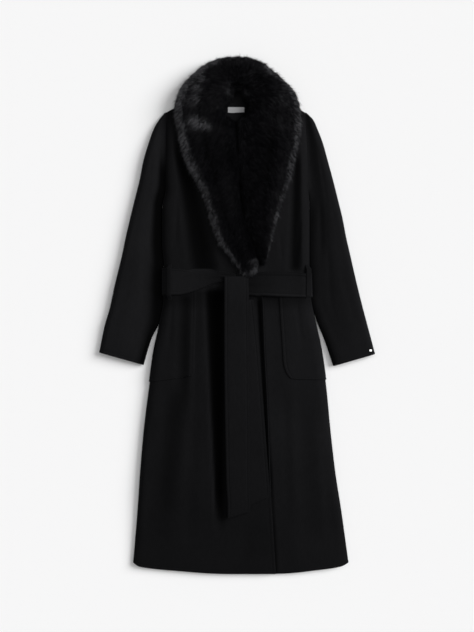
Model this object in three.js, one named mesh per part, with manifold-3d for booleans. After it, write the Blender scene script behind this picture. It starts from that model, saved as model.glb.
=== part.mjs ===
// A long wrap coat in black wool with a fur shawl collar and a tied belt, laid flat on its back.
// Millimetres, +Z up. X runs across the coat, Y from hem to collar, and the back rests on z = 0.
import * as THREE from 'three';
import { mergeVertices } from 'three/addons/utils/BufferGeometryUtils.js';
import Module from 'manifold-3d';

const wasm = await Module();
wasm.setup();

// Driving dimensions
const CLOTH = 2.5;
const SEAM = 0.3;
const BODY_HEIGHT = 24;
const HEM_HEIGHT = 15;
const SHOULDER_HEIGHT = 9;
const SIDE_SEAM_HEIGHT = 7;
const SIDE_ROUND = 24;
const BACK_CURL = 9;
const UNDERARM_Y = 277;
const SHOULDER_TIP_Y = 521;
const HEM_CORNER_Y = -631;
const NECK_POINT = { x: 64, y: 585 };
const NECK_DIP = 10;
const NECK_LIFT = { raise: 20, reach: 155, ramp: 90, from: 440, to: 500 };
const OVER_NECK = 12;
const SHOULDER_SLOPE = 60;
const ARMHOLE_HEIGHT = 14;
const SIDE_CLOSING = 70;
const OPEN_SIDE_ANGLE = Math.PI / 5;
const HEM_RISE = { from: -660, to: -430 };
const HEM_BEND = 6;
const SHOULDER_BEND = 4;
const BELT_THICKNESS = 4;
const BELT_CHANNEL = { y: 88, halfWidth: 76, ramp: 40, depth: BELT_THICKNESS + 2 * SEAM };
const POCKET_THICKNESS = 2;
const TAIL_THICKNESS = 4.5;
const TAIL_END_DROP = 1;
const UNDER_GAP = 2;
const UNDER_RAMP = { from: 10, to: 70 };
const LABEL = { x: -3, y: 525, width: 42, height: 16, thickness: 0.6 };
const CUFF_TAG = { x: 341, y: -88, width: 6, height: 4, thickness: 0.8 };

// How finely each face is divided, and the share of a face that its rounded side takes
const ARMHOLE_STEPS = 6;
const SEAM_STEPS = 15;
const CUFF_STEPS = 9;
const FRONT_COLUMNS = 16;
const BACK_COLUMNS = 16;
const SLEEVE_COLUMNS = 8;
const TAIL_COLUMNS = 4;
const CURVE_SEGMENTS = 5;
const TURN_SHARE = 0.25;
const CURL_SHARE = 0.125;

// Clearances for cutting, and heights past everything
const EDGE_CLEARANCE = 1.4;
const BELOW_ALL = -60;
const ABOVE_ALL = 120;
const MERGE_DISTANCE = 1e-4;

// Where each side fold of the body lies, from the shoulder tip down to the hem
const BODY_SIDES = [
  { y: 521, left: -182, right: 173 },
  { y: 454, left: -183, right: 177 },
  { y: 328, left: -183, right: 182 },
  { y: 277, left: -192, right: 185 },
  { y: 187, left: -192, right: 185 },
  { y: 118, left: -187, right: 185 },
  { y: 49, left: -187, right: 187 },
  { y: -23, left: -199, right: 201 },
  { y: -87, left: -213, right: 215 },
  { y: -180, left: -226, right: 228 },
  { y: -292, left: -240, right: 239 },
  { y: -395, left: -249, right: 251 },
  { y: -497, left: -256, right: 267 },
  { y: -631, left: -267, right: 285 },
];

// The front edges: upper is the lapel's roll line and the edge that shows, under is the hidden one
const FRONT_EDGES = [
  { y: 585, upper: -64, under: 64 },
  { y: 556, upper: -42, under: 44 },
  { y: 520, upper: -30, under: 28 },
  { y: 482, upper: -8, under: 8 },
  { y: 426, upper: 1, under: 0 },
  { y: 315, upper: 8, under: -4 },
  { y: 246, upper: 18, under: -4 },
  { y: 205, upper: 31, under: -5 },
  { y: 172, upper: 43, under: -6 },
  { y: 131, upper: 54, under: -7 },
  { y: 41, upper: 65, under: -8 },
  { y: -87, upper: 69, under: -10 },
  { y: -215, upper: 76, under: -12 },
  { y: -420, upper: 83, under: -15 },
  { y: -535, upper: 90, under: -17 },
  { y: -660, upper: 98, under: -18 },
];

// The hem's curve across the coat
const HEM = [
  { x: -268, y: -631 },
  { x: -250, y: -641 },
  { x: -167, y: -651 },
  { x: -18, y: -660 },
  { x: 98, y: -660 },
  { x: 205, y: -650 },
  { x: 264, y: -641 },
  { x: 286, y: -631 },
];

// Soft valleys in the fronts: each runs from its top to its bottom and fades out at both ends
const FOLD_FADE = { topEnd: 0.18, bottomStart: 0.6 };
const FOLDS = [
  { x: -126, y: 270, toX: -126, toY: 130, halfWidth: 24, depth: 5 },
  { x: 133, y: 330, toX: 133, toY: 130, halfWidth: 18, depth: 6 },
  { x: -124, y: 48, toX: -132, toY: -190, halfWidth: 26, depth: 6 },
  { x: -150, y: -150, toX: -186, toY: -560, halfWidth: 40, depth: 4 },
  { x: -64, y: 48, toX: -52, toY: -535, halfWidth: 26, depth: 9 },
  { x: 52, y: 40, toX: 64, toY: -250, halfWidth: 12, depth: 4 },
  { x: 165, y: -200, toX: 190, toY: -600, halfWidth: 40, depth: 3 },
];

// The sleeve sections: the inner end of each lies on the armhole or beside the body, and the
// outer end reaches the sleeve's outline, set up the sleeve by its rise
const SLEEVE_RIGHT = [
  { y: 521, inner: -182, outer: -189, rise: -4, crown: 12, dip: 9 },
  { y: 497, inner: -183, outer: -201, rise: 5, crown: 17, dip: 12 },
  { y: 467, inner: -183, outer: -214, rise: 13, crown: 21, dip: 13 },
  { y: 426, inner: -183, outer: -227, rise: 18, crown: 24, dip: 13 },
  { y: 380, inner: -183, outer: -240, rise: 21, crown: 25, dip: 13 },
  { y: 328, inner: -183, outer: -251, rise: 18, crown: 25, dip: 12 },
  { y: 277, inner: -190, outer: -263, rise: 21, crown: 25, dip: 11 },
  { y: 226, inner: -190, outer: -275, rise: 23, crown: 25, dip: 11 },
  { y: 174, inner: -190, outer: -286, rise: 28, crown: 25, dip: 11 },
  { y: 123, inner: -195, outer: -296, rise: 31, crown: 25, dip: 12 },
  { y: 49, inner: -197, outer: -314, rise: 31, crown: 25, dip: 13 },
  { y: -15, inner: -199, outer: -328, rise: 31, crown: 24, dip: 15 },
  { y: -56, inner: -219, outer: -340, rise: 31, crown: 23, dip: 16 },
  { y: -125, inner: -240, outer: -354, rise: 32, crown: 20, dip: 17 },
];
const SLEEVE_LEFT = [
  { y: 521, inner: 173, outer: 181, rise: -4, crown: 12, dip: 9 },
  { y: 497, inner: 175, outer: 195, rise: 5, crown: 17, dip: 12 },
  { y: 467, inner: 177, outer: 205, rise: 13, crown: 21, dip: 13 },
  { y: 426, inner: 178, outer: 219, rise: 18, crown: 24, dip: 13 },
  { y: 380, inner: 180, outer: 231, rise: 21, crown: 25, dip: 13 },
  { y: 328, inner: 182, outer: 246, rise: 18, crown: 25, dip: 12 },
  { y: 277, inner: 184, outer: 258, rise: 21, crown: 25, dip: 11 },
  { y: 226, inner: 184, outer: 270, rise: 23, crown: 25, dip: 11 },
  { y: 174, inner: 184, outer: 279, rise: 28, crown: 25, dip: 11 },
  { y: 123, inner: 193, outer: 290, rise: 31, crown: 25, dip: 12 },
  { y: 49, inner: 195, outer: 307, rise: 31, crown: 25, dip: 13 },
  { y: -15, inner: 206, outer: 323, rise: 31, crown: 24, dip: 15 },
  { y: -56, inner: 221, outer: 334, rise: 31, crown: 23, dip: 16 },
  { y: -128, inner: 246, outer: 353, rise: 31, crown: 20, dip: 17 },
];
const SLEEVE_OUTER_ROUND = 16;
const SLEEVE_INNER_ROUND = 12;
const SLEEVE_SEAM_HEIGHT = 7;
const SLEEVE_ROUND_LIMIT = 0.42;
const SLEEVE_OPEN_ANGLE = Math.PI / 4;
const SLEEVE_SLOPE = { from: 0.3, to: 0.95 };
const BESIDE_BODY = 1.5;
const BESIDE_BELT = 5;
const BESIDE_RAMP = 30;

// The fur collar's sections from the centre back to the tip: outer rim, inner rim, base and top
const COLLAR_RIGHT = [
  { outerX: 0, outerY: 663, innerX: 0, innerY: 574, base: 0, top: 62 },
  { outerX: -36, outerY: 660, innerX: -3, innerY: 573, base: 0, top: 62 },
  { outerX: -68, outerY: 650, innerX: -6, innerY: 571, base: 0, top: 61 },
  { outerX: -98, outerY: 631, innerX: -10, innerY: 566, base: 0, top: 60 },
  { outerX: -128, outerY: 603, innerX: -14, innerY: 556, base: 0, top: 58 },
  { outerX: -149, outerY: 574, innerX: -21, innerY: 541, base: 2, top: 56 },
  { outerX: -158, outerY: 546, innerX: -28, innerY: 526, base: 6, top: 54 },
  { outerX: -160, outerY: 518, innerX: -26, innerY: 508, base: 10, top: 53 },
  { outerX: -155, outerY: 477, innerX: -3, innerY: 482, base: 14, top: 52 },
  { outerX: -145, outerY: 426, innerX: 1, innerY: 426, base: 16, top: 52 },
  { outerX: -125, outerY: 380, innerX: 5, innerY: 369, base: 16, top: 51 },
  { outerX: -96, outerY: 322, innerX: 8, innerY: 315, base: 16, top: 50 },
  { outerX: -73, outerY: 254, innerX: 17, innerY: 252, base: 16, top: 49 },
  { outerX: -52, outerY: 195, innerX: 31, innerY: 205, base: 16, top: 48 },
  { outerX: -26, outerY: 159, innerX: 43, innerY: 172, base: 16, top: 46 },
  { outerX: 2, outerY: 124, innerX: 51, innerY: 140, base: 16, top: 44 },
  { outerX: 20, outerY: 103, innerX: 47, innerY: 113, base: 18, top: 40 },
];
const COLLAR_LEFT = [
  { outerX: 0, outerY: 663, innerX: 0, innerY: 574, base: 0, top: 62 },
  { outerX: 36, outerY: 658, innerX: 4, innerY: 573, base: 0, top: 62 },
  { outerX: 66, outerY: 645, innerX: 8, innerY: 571, base: 0, top: 61 },
  { outerX: 98, outerY: 621, innerX: 12, innerY: 566, base: 0, top: 60 },
  { outerX: 124, outerY: 596, innerX: 16, innerY: 556, base: 0, top: 58 },
  { outerX: 146, outerY: 572, innerX: 20, innerY: 541, base: 2, top: 56 },
  { outerX: 157, outerY: 546, innerX: 21, innerY: 526, base: 6, top: 54 },
  { outerX: 162, outerY: 518, innerX: 17, innerY: 508, base: 10, top: 53 },
  { outerX: 164, outerY: 479, innerX: -3, innerY: 482, base: 14, top: 52 },
  { outerX: 155, outerY: 426, innerX: 1, innerY: 426, base: 16, top: 52 },
  { outerX: 144, outerY: 377, innerX: 5, innerY: 369, base: 16, top: 51 },
  { outerX: 126, outerY: 321, innerX: 8, innerY: 315, base: 16, top: 50 },
  { outerX: 105, outerY: 256, innerX: 17, innerY: 252, base: 16, top: 48 },
  { outerX: 90, outerY: 210, innerX: 31, innerY: 205, base: 16, top: 46 },
  { outerX: 78, outerY: 169, innerX: 43, innerY: 172, base: 18, top: 43 },
  { outerX: 62, outerY: 138, innerX: 51, innerY: 140, base: 20, top: 38 },
];
const COLLAR_RING_SIDES = 12;
const COLLAR_SQUARENESS = 0.62;
const COLLAR_HALF_GAP = 0.2;
const FALL = { halfWidth: 88, bottom: 500, top: 604, height: 26 };

// The belt's stretches over the fronts: its two edges at each place across the coat
const BELT_RIGHT = [
  { x: -205, top: 124, bottom: 54 },
  { x: -154, top: 119, bottom: 53 },
  { x: -118, top: 112, bottom: 57 },
  { x: -74, top: 106, bottom: 70 },
  { x: -38, top: 102, bottom: 79 },
  { x: -4, top: 101, bottom: 78 },
];
const BELT_LEFT = [
  { x: -3.4, top: 101, bottom: 66 },
  { x: 29, top: 100, bottom: 47 },
  { x: 67, top: 101, bottom: 45 },
  { x: 128, top: 106, bottom: 46 },
  { x: 171, top: 108, bottom: 48 },
  { x: 205, top: 108, bottom: 50 },
];
const BELT_BACK = { top: 122, bottom: 54, flat: 330, width: 500 };
const BELT_LOOPS = [
  { name: 'belt_loop_right', side: -1, x: -172 },
  { name: 'belt_loop_left', side: 1, x: 178 },
];
const BELT_LOOP = { width: 9, top: 130, bottom: 40, thickness: 2 };

// The belt's two hanging ends
const TAIL_FRONT = [
  { y: 100, left: -33, right: 28, z: 35.6 },
  { y: 92, left: -33, right: 28, z: 37.5 },
  { y: 60, left: -33, right: 29, z: 39.5 },
  { y: 40, left: -33, right: 29, z: 40.2 },
  { y: -20, left: -33, right: 29, z: 38.8 },
  { y: -87, left: -33, right: 30, z: 37.6 },
  { y: -215, left: -32, right: 31, z: 36.1 },
  { y: -320, left: -30, right: 32, z: 35.1 },
  { y: -420, left: -28, right: 32, z: 34.6 },
  { y: -472, left: -25, right: 33, z: 34.6 },
];
const TAIL_FRONT_END = { left: -516, right: -497 };
const TAIL_UNDER = [
  { y: 40, left: -10, right: 42, z: 35.2 },
  { y: 0, left: -8, right: 46, z: 34 },
  { y: -87, left: -6, right: 55, z: 32.5 },
  { y: -215, left: 0, right: 65, z: 31 },
  { y: -320, left: 6, right: 73, z: 30 },
  { y: -400, left: 12, right: 79, z: 29.5 },
  { y: -440, left: 14, right: 82, z: 29.5 },
];
const TAIL_UNDER_END = { left: -492, right: -461 };

// Patch pockets: the inner edge, the lower corner and the bottom, which ends in the side fold
const POCKET_RIGHT = {
  top: 64, innerTop: -105, innerBottom: -110, cornerX: -121, cornerY: -143,
  bottomInner: -154, bottomOuter: -168, outer: -250,
};
const POCKET_LEFT = {
  top: 64, innerTop: 106, innerBottom: 117, cornerX: 144, cornerY: -100,
  bottomInner: -160, bottomOuter: -162, outer: 250,
};

// Looks, as plain surface values
const WOOL = { color: 0x141416, roughness: 0.92, metalness: 0 };
const FUR = { color: 0x0c0c0e, roughness: 0.75, metalness: 0 };
const LABEL_CLOTH = { color: 0x9a9a9a, roughness: 0.8, metalness: 0 };
const TAG_METAL = { color: 0xb8b8b4, roughness: 0.35, metalness: 1 };

// Reads a column of a table at a place, on a smooth curve through the rows
function follow(table, key, at, column) {
  const up = table[0][key] < table[table.length - 1][key];
  const rows = up ? table : [...table].reverse();
  const last = rows.length - 1;
  if (at <= rows[0][key]) return rows[0][column];
  if (at >= rows[last][key]) return rows[last][column];
  let i = 0;
  while (rows[i + 1][key] < at) i += 1;
  const slope = (a, b) => (rows[b][column] - rows[a][column]) / (rows[b][key] - rows[a][key]);
  const step = rows[i + 1][key] - rows[i][key];
  const here = slope(i, i + 1);
  const before = i > 0 ? slope(i - 1, i) : here;
  const after = i + 1 < last ? slope(i + 1, i + 2) : here;
  const m0 = before * here > 0 ? (2 * before * here) / (before + here) : 0;
  const m1 = after * here > 0 ? (2 * after * here) / (after + here) : 0;
  const t = (at - rows[i][key]) / step;
  const t2 = t * t;
  const t3 = t2 * t;
  return (2 * t3 - 3 * t2 + 1) * rows[i][column] + (t3 - 2 * t2 + t) * step * m0
    + (3 * t2 - 2 * t3) * rows[i + 1][column] + (t3 - t2) * step * m1;
}

const { lerp, clamp, smoothstep } = THREE.MathUtils;
const bodySide = (side, y) => follow(BODY_SIDES, 'y', y, side < 0 ? 'left' : 'right');
const frontEdge = (side, y) => follow(FRONT_EDGES, 'y', y, side < 0 ? 'upper' : 'under');
const hemY = (x) => follow(HEM, 'x', x, 'y');

// The shoulder line and the back neck: the highest y of the body at x
function shoulderY(x) {
  const tipX = bodySide(Math.sign(x) || 1, SHOULDER_TIP_Y);
  const run = (Math.abs(x) - NECK_POINT.x) / (Math.abs(tipX) - NECK_POINT.x);
  if (run >= 0) return lerp(NECK_POINT.y, SHOULDER_TIP_Y, Math.min(run, 1));
  return NECK_POINT.y - NECK_DIP * (1 - (x / NECK_POINT.x) ** 2);
}

// How far the collar's fall lifts the neck off the ground
function neckLift(x, y) {
  const across = smoothstep(NECK_LIFT.reach - Math.abs(x), 0, NECK_LIFT.ramp);
  return NECK_LIFT.raise * across * smoothstep(y, NECK_LIFT.from, NECK_LIFT.to);
}

// How far the back stands over the belt that lies under it
function beltLift(y) {
  const away = Math.abs(y - BELT_CHANNEL.y) - BELT_CHANNEL.halfWidth;
  return BELT_CHANNEL.depth * (1 - smoothstep(away, 0, BELT_CHANNEL.ramp));
}

// The armhole opens between the shoulder tip and the underarm: 0 when closed, 1 when open
function armholeOpening(y) {
  const s = clamp((y - UNDERARM_Y) / (SHOULDER_TIP_Y - UNDERARM_Y), 0, 1);
  return Math.sqrt(Math.sin(Math.PI * s));
}

// The side is a closed fold under the armhole and lies open above it
const sideClosure = (y) => 1 - smoothstep(y, UNDERARM_Y, UNDERARM_Y + SIDE_CLOSING);

// Height of the fronts' outer face, before the sides turn down
function frontHeight(x, y) {
  let z = lerp(HEM_HEIGHT, BODY_HEIGHT, smoothstep(y, HEM_RISE.from, HEM_RISE.to));
  for (const fold of FOLDS) {
    const t = (fold.y - y) / (fold.y - fold.toY);
    if (t <= 0 || t >= 1) continue;
    const away = Math.abs(x - lerp(fold.x, fold.toX, t)) / fold.halfWidth;
    if (away >= 1) continue;
    const ends = smoothstep(t, 0, FOLD_FADE.topEnd) * (1 - smoothstep(t, FOLD_FADE.bottomStart, 1));
    z -= fold.depth * ends * (0.5 + 0.5 * Math.cos(Math.PI * away));
  }
  const lift = neckLift(x, y);
  const seam = lift + SHOULDER_HEIGHT;
  const full = Math.max(z, lift + OVER_NECK);
  return lerp(seam, full, smoothstep(shoulderY(x) - y, 0, SHOULDER_SLOPE));
}

// The under front lies below the upper one, and meets its level again further out
function underDrop(x, y) {
  const past = x - frontEdge(-1, y);
  return (CLOTH + UNDER_GAP) * (1 - smoothstep(past, UNDER_RAMP.from, UNDER_RAMP.to));
}

// Stations down a side: the armhole's, the side seam's, and a few more at both ends
function bodyStations() {
  const stations = [];
  for (let i = 0; i <= SEAM_STEPS; i += 1) stations.push(lerp(HEM_CORNER_Y, UNDERARM_Y, i / SEAM_STEPS));
  for (let i = 1; i <= ARMHOLE_STEPS; i += 1) {
    stations.push(lerp(UNDERARM_Y, SHOULDER_TIP_Y, i / ARMHOLE_STEPS));
  }
  return stations;
}
const STATIONS = bodyStations();
const stationY = (v) => {
  const at = v * (STATIONS.length - 1);
  const i = Math.min(Math.floor(at), STATIONS.length - 2);
  return lerp(STATIONS[i], STATIONS[i + 1], at - i);
};

// A row of the body panel: level at the sides, and bent to the hem's curve and the shoulder line
function rowY(x, sideY) {
  const share = (sideY - HEM_CORNER_Y) / (SHOULDER_TIP_Y - HEM_CORNER_Y);
  const toHem = (1 - share) ** HEM_BEND * (hemY(x) - HEM_CORNER_Y);
  const toShoulder = share ** SHOULDER_BEND * (shoulderY(x) - SHOULDER_TIP_Y);
  return sideY + toHem + toShoulder;
}

// A front panel: u runs from the side fold over the top to the front edge, v from hem to shoulder
function frontPoint(side, u, v, drop = true) {
  const sideY = stationY(v);
  const edgeX = bodySide(side, sideY);
  const closed = sideClosure(sideY);
  const open = armholeOpening(sideY);
  const openZ = lerp(SHOULDER_HEIGHT, ARMHOLE_HEIGHT, open);
  const endZ = lerp(openZ, SIDE_SEAM_HEIGHT + SEAM / 2, closed);
  const start = lerp(OPEN_SIDE_ANGLE, 0, closed);
  const turn = clamp(u / TURN_SHARE, 0, 1);
  const angle = lerp(start, Math.PI / 2, turn);
  const turned = SIDE_ROUND * (Math.cos(start) - Math.cos(angle));
  const flatX = edgeX - side * SIDE_ROUND * Math.cos(start);
  let x = edgeX - side * turned;
  let y = rowY(x, sideY);
  if (u > TURN_SHARE) {
    const share = (u - TURN_SHARE) / (1 - TURN_SHARE);
    const frontX = frontEdge(side, rowY(frontEdge(side, sideY), sideY));
    x = lerp(flatX, frontX, share);
    y = rowY(x, sideY);
  }
  const top = frontHeight(x, y) - (side > 0 && drop ? underDrop(x, y) : 0);
  const rise = (Math.sin(angle) - Math.sin(start)) / (1 - Math.sin(start));
  return new THREE.Vector3(x, y, lerp(endZ, top, rise));
}

// The back panel's outer face: it lies on the ground and curls up into the side seams
function backPoint(u, v) {
  const side = u < 0.5 ? -1 : 1;
  const fromSide = Math.min(u, 1 - u);
  const sideY = stationY(v);
  const edgeX = bodySide(side, sideY);
  const closed = sideClosure(sideY);
  const turn = clamp(fromSide / CURL_SHARE, 0, 1);
  const angle = turn * (Math.PI / 2);
  let x = edgeX - side * BACK_CURL * (1 - Math.cos(angle));
  if (fromSide > CURL_SHARE) {
    const left = bodySide(-1, sideY) + BACK_CURL;
    const right = bodySide(1, sideY) - BACK_CURL;
    x = lerp(left, right, (u - CURL_SHARE) / (1 - 2 * CURL_SHARE));
  }
  const y = rowY(x, sideY);
  const ground = neckLift(x, y) + beltLift(y);
  const curl = closed * (SIDE_SEAM_HEIGHT - SEAM / 2) * (1 - Math.sin(angle));
  return new THREE.Vector3(x, y, ground * Math.sin(angle) + curl);
}

// A sleeve section's two ends
function sleeveEnds(table, y) {
  const inner = follow(table, 'y', y, 'inner');
  const outer = follow(table, 'y', y, 'outer');
  const rise = follow(table, 'y', y, 'rise');
  return { inner: new THREE.Vector2(inner, y), outer: new THREE.Vector2(outer, y + rise) };
}

function sleeveStations(table) {
  const last = table[table.length - 1].y;
  const stations = [];
  for (let i = 0; i <= ARMHOLE_STEPS; i += 1) {
    stations.push(lerp(SHOULDER_TIP_Y, UNDERARM_Y, i / ARMHOLE_STEPS));
  }
  for (let i = 1; i <= CUFF_STEPS; i += 1) stations.push(lerp(UNDERARM_Y, last, i / CUFF_STEPS));
  return stations;
}

// A sleeve's face: u runs from the outer fold to the inner one, v from the armhole to the cuff
function sleevePoint(side, table, stations, under, u, v) {
  const at = v * (stations.length - 1);
  const i = Math.min(Math.floor(at), stations.length - 2);
  const y = lerp(stations[i], stations[i + 1], at - i);
  const { inner, outer } = sleeveEnds(table, y);
  if (y >= UNDERARM_Y) inner.x = bodySide(side, y) + side * SEAM;
  if (y < UNDERARM_Y) {
    const overBelt = smoothstep(beltLift(y), 0, BELT_THICKNESS);
    const clear = bodySide(side, y) + side * (BESIDE_BODY + BESIDE_BELT * overBelt);
    inner.x = side * Math.max(side * inner.x, side * clear * smoothstep(UNDERARM_Y - y, 0, BESIDE_RAMP));
  }
  const across = inner.clone().sub(outer);
  const width = across.length();
  const outerRound = Math.min(SLEEVE_OUTER_ROUND, SLEEVE_ROUND_LIMIT * width);
  const innerRound = Math.min(SLEEVE_INNER_ROUND, SLEEVE_ROUND_LIMIT * width);
  const closed = sideClosure(y);
  const outAngle = clamp(u / TURN_SHARE, 0, 1) * (Math.PI / 2);
  const inStart = lerp(SLEEVE_OPEN_ANGLE, 0, closed);
  const inAngle = lerp(inStart, Math.PI / 2, clamp((1 - u) / TURN_SHARE, 0, 1));
  const inReach = innerRound * Math.cos(inStart);
  let along = outerRound * (1 - Math.cos(outAngle));
  if (u > TURN_SHARE && u < 1 - TURN_SHARE) {
    along = lerp(outerRound, width - inReach, (u - TURN_SHARE) / (1 - 2 * TURN_SHARE));
  } else if (u >= 1 - TURN_SHARE) {
    along = width - innerRound * (Math.cos(inStart) - Math.cos(inAngle));
  }
  const place = outer.clone().addScaledVector(across, along / width);
  const crown = follow(table, 'y', y, 'crown');
  const dip = follow(table, 'y', y, 'dip');
  const share = along / width;
  const seamTop = SLEEVE_SEAM_HEIGHT + SEAM;
  const seamUnder = SLEEVE_SEAM_HEIGHT - SEAM;
  const outTurn = Math.sin(outAngle);
  const inTurn = (Math.sin(inAngle) - Math.sin(inStart)) / (1 - Math.sin(inStart));
  let z;
  if (under) {
    z = seamUnder * (1 - outTurn) + closed * seamUnder * (1 - inTurn);
  } else {
    const top = lerp(crown, dip, smoothstep(share, SLEEVE_SLOPE.from, SLEEVE_SLOPE.to));
    const open = lerp(SHOULDER_HEIGHT, ARMHOLE_HEIGHT, armholeOpening(y));
    const innerEnd = lerp(open, seamTop, closed);
    z = u < 0.5 ? lerp(seamTop, top, outTurn) : lerp(innerEnd, top, inTurn);
  }
  return new THREE.Vector3(place.x, place.y, z);
}

// A grid of points and outward directions over a face
function sampleFace(pointAt, columns, rows, outward) {
  const small = 1e-3;
  const grid = [];
  for (let j = 0; j <= rows; j += 1) {
    for (let i = 0; i <= columns; i += 1) {
      const u = i / columns;
      const v = j / rows;
      const du = pointAt(Math.min(u + small, 1), v).sub(pointAt(Math.max(u - small, 0), v));
      const dv = pointAt(u, Math.min(v + small, 1)).sub(pointAt(u, Math.max(v - small, 0)));
      const normal = du.cross(dv).normalize();
      if (normal.dot(outward) < 0) normal.negate();
      grid.push({ point: pointAt(u, v), normal });
    }
  }
  return { grid, columns, rows };
}

// A closed wall between two copies of a grid
function wall(face, upperPoints, lowerPoints) {
  const { columns, rows } = face;
  const count = upperPoints.length;
  const triangles = [];
  const at = (i, j) => j * (columns + 1) + i;
  const quad = (a, b, c, d) => triangles.push(a, b, c, a, c, d);
  for (let j = 0; j < rows; j += 1) {
    for (let i = 0; i < columns; i += 1) {
      quad(at(i, j), at(i + 1, j), at(i + 1, j + 1), at(i, j + 1));
      quad(at(i, j) + count, at(i, j + 1) + count, at(i + 1, j + 1) + count, at(i + 1, j) + count);
    }
  }
  const rim = [];
  for (let i = 0; i < columns; i += 1) rim.push(at(i, 0));
  for (let j = 0; j < rows; j += 1) rim.push(at(columns, j));
  for (let i = columns; i > 0; i -= 1) rim.push(at(i, rows));
  for (let j = rows; j > 0; j -= 1) rim.push(at(0, j));
  rim.forEach((a, k) => {
    const b = rim[(k + 1) % rim.length];
    quad(a, a + count, b + count, b);
  });
  return closedMesh([...upperPoints, ...lowerPoints], triangles);
}

// A mesh whose faces point out
function closedMesh(points, triangles) {
  const geometry = new THREE.BufferGeometry();
  const numbers = points.flatMap((p) => [p.x, p.y, p.z]);
  geometry.setAttribute('position', new THREE.Float32BufferAttribute(numbers, 3));
  let volume = 0;
  for (let k = 0; k < triangles.length; k += 3) {
    const [a, b, c] = [0, 1, 2].map((n) => points[triangles[k + n]]);
    volume += a.dot(b.clone().cross(c));
  }
  if (volume < 0) {
    for (let k = 0; k < triangles.length; k += 3) {
      [triangles[k], triangles[k + 1]] = [triangles[k + 1], triangles[k]];
    }
  }
  geometry.setIndex(triangles);
  return geometry;
}

const moved = (face, distance) => face.grid.map(
  ({ point, normal }) => point.clone().addScaledVector(normal, distance),
);

// Cloth of a given thickness inside its outer face
const clothWall = (face, thickness = CLOTH) => wall(face, moved(face, 0), moved(face, -thickness));

// A layer that lies on a face, made from the face's points moved out
const layerOver = (face, from, to) => wall(face, moved(face, to), moved(face, from));

// The room a face takes, down past the ground or up past everything, a little wider all round
function room(face, distance, floor) {
  const { columns, rows } = face;
  const points = moved(face, distance);
  const at = (i, j) => points[j * (columns + 1) + i];
  const push = (end, next) => {
    const out = end.clone().sub(next).setZ(0);
    if (out.lengthSq() > 0) end.addScaledVector(out.normalize(), EDGE_CLEARANCE);
  };
  for (let j = 0; j <= rows; j += 1) {
    push(at(0, j), at(1, j));
    push(at(columns, j), at(columns - 1, j));
  }
  for (let i = 0; i <= columns; i += 1) {
    push(at(i, 0), at(i, 1));
    push(at(i, rows), at(i, rows - 1));
  }
  const low = points.map((p) => new THREE.Vector3(p.x, p.y, floor));
  return wall(face, points, low);
}

// Solids for joining and cutting
function toSolid(geometry) {
  const bare = geometry.clone();
  bare.deleteAttribute('normal');
  bare.deleteAttribute('uv');
  const merged = mergeVertices(bare, MERGE_DISTANCE);
  return new wasm.Manifold(new wasm.Mesh({
    numProp: 3,
    vertProperties: new Float32Array(merged.attributes.position.array),
    triVerts: new Uint32Array(merged.index.array),
  }));
}

function toGeometry(solid) {
  const mesh = solid.getMesh();
  const geometry = new THREE.BufferGeometry();
  geometry.setAttribute('position', new THREE.BufferAttribute(new Float32Array(mesh.vertProperties), 3));
  geometry.setIndex(new THREE.BufferAttribute(new Uint32Array(mesh.triVerts), 1));
  return geometry;
}

const cutBy = (solid, rooms) => rooms.reduce((left, piece) => left.subtract(piece), solid);

// An outline pushed straight up through everything
function prism(outline, low = BELOW_ALL, high = ABOVE_ALL) {
  const geometry = new THREE.ExtrudeGeometry(outline, {
    depth: high - low,
    bevelEnabled: false,
    curveSegments: CURVE_SEGMENTS,
  });
  geometry.translate(0, 0, low);
  return toSolid(geometry);
}

function bandOutline(table) {
  const outline = new THREE.Shape();
  outline.moveTo(table[0].x, table[0].top);
  table.slice(1).forEach((row) => outline.lineTo(row.x, row.top));
  [...table].reverse().forEach((row) => outline.lineTo(row.x, row.bottom));
  return outline;
}

function pocketOutline(pocket) {
  const outline = new THREE.Shape();
  outline.moveTo(pocket.outer, pocket.top);
  outline.lineTo(pocket.innerTop, pocket.top);
  outline.lineTo(pocket.innerBottom, pocket.cornerY);
  outline.quadraticCurveTo(pocket.innerBottom, pocket.bottomInner, pocket.cornerX, pocket.bottomInner);
  outline.lineTo(pocket.outer, pocket.bottomOuter);
  return outline;
}

function rectangle({ x, y, width, height }) {
  const outline = new THREE.Shape();
  outline.moveTo(x - width / 2, y - height / 2);
  outline.lineTo(x + width / 2, y - height / 2);
  outline.lineTo(x + width / 2, y + height / 2);
  outline.lineTo(x - width / 2, y + height / 2);
  return outline;
}

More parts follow.
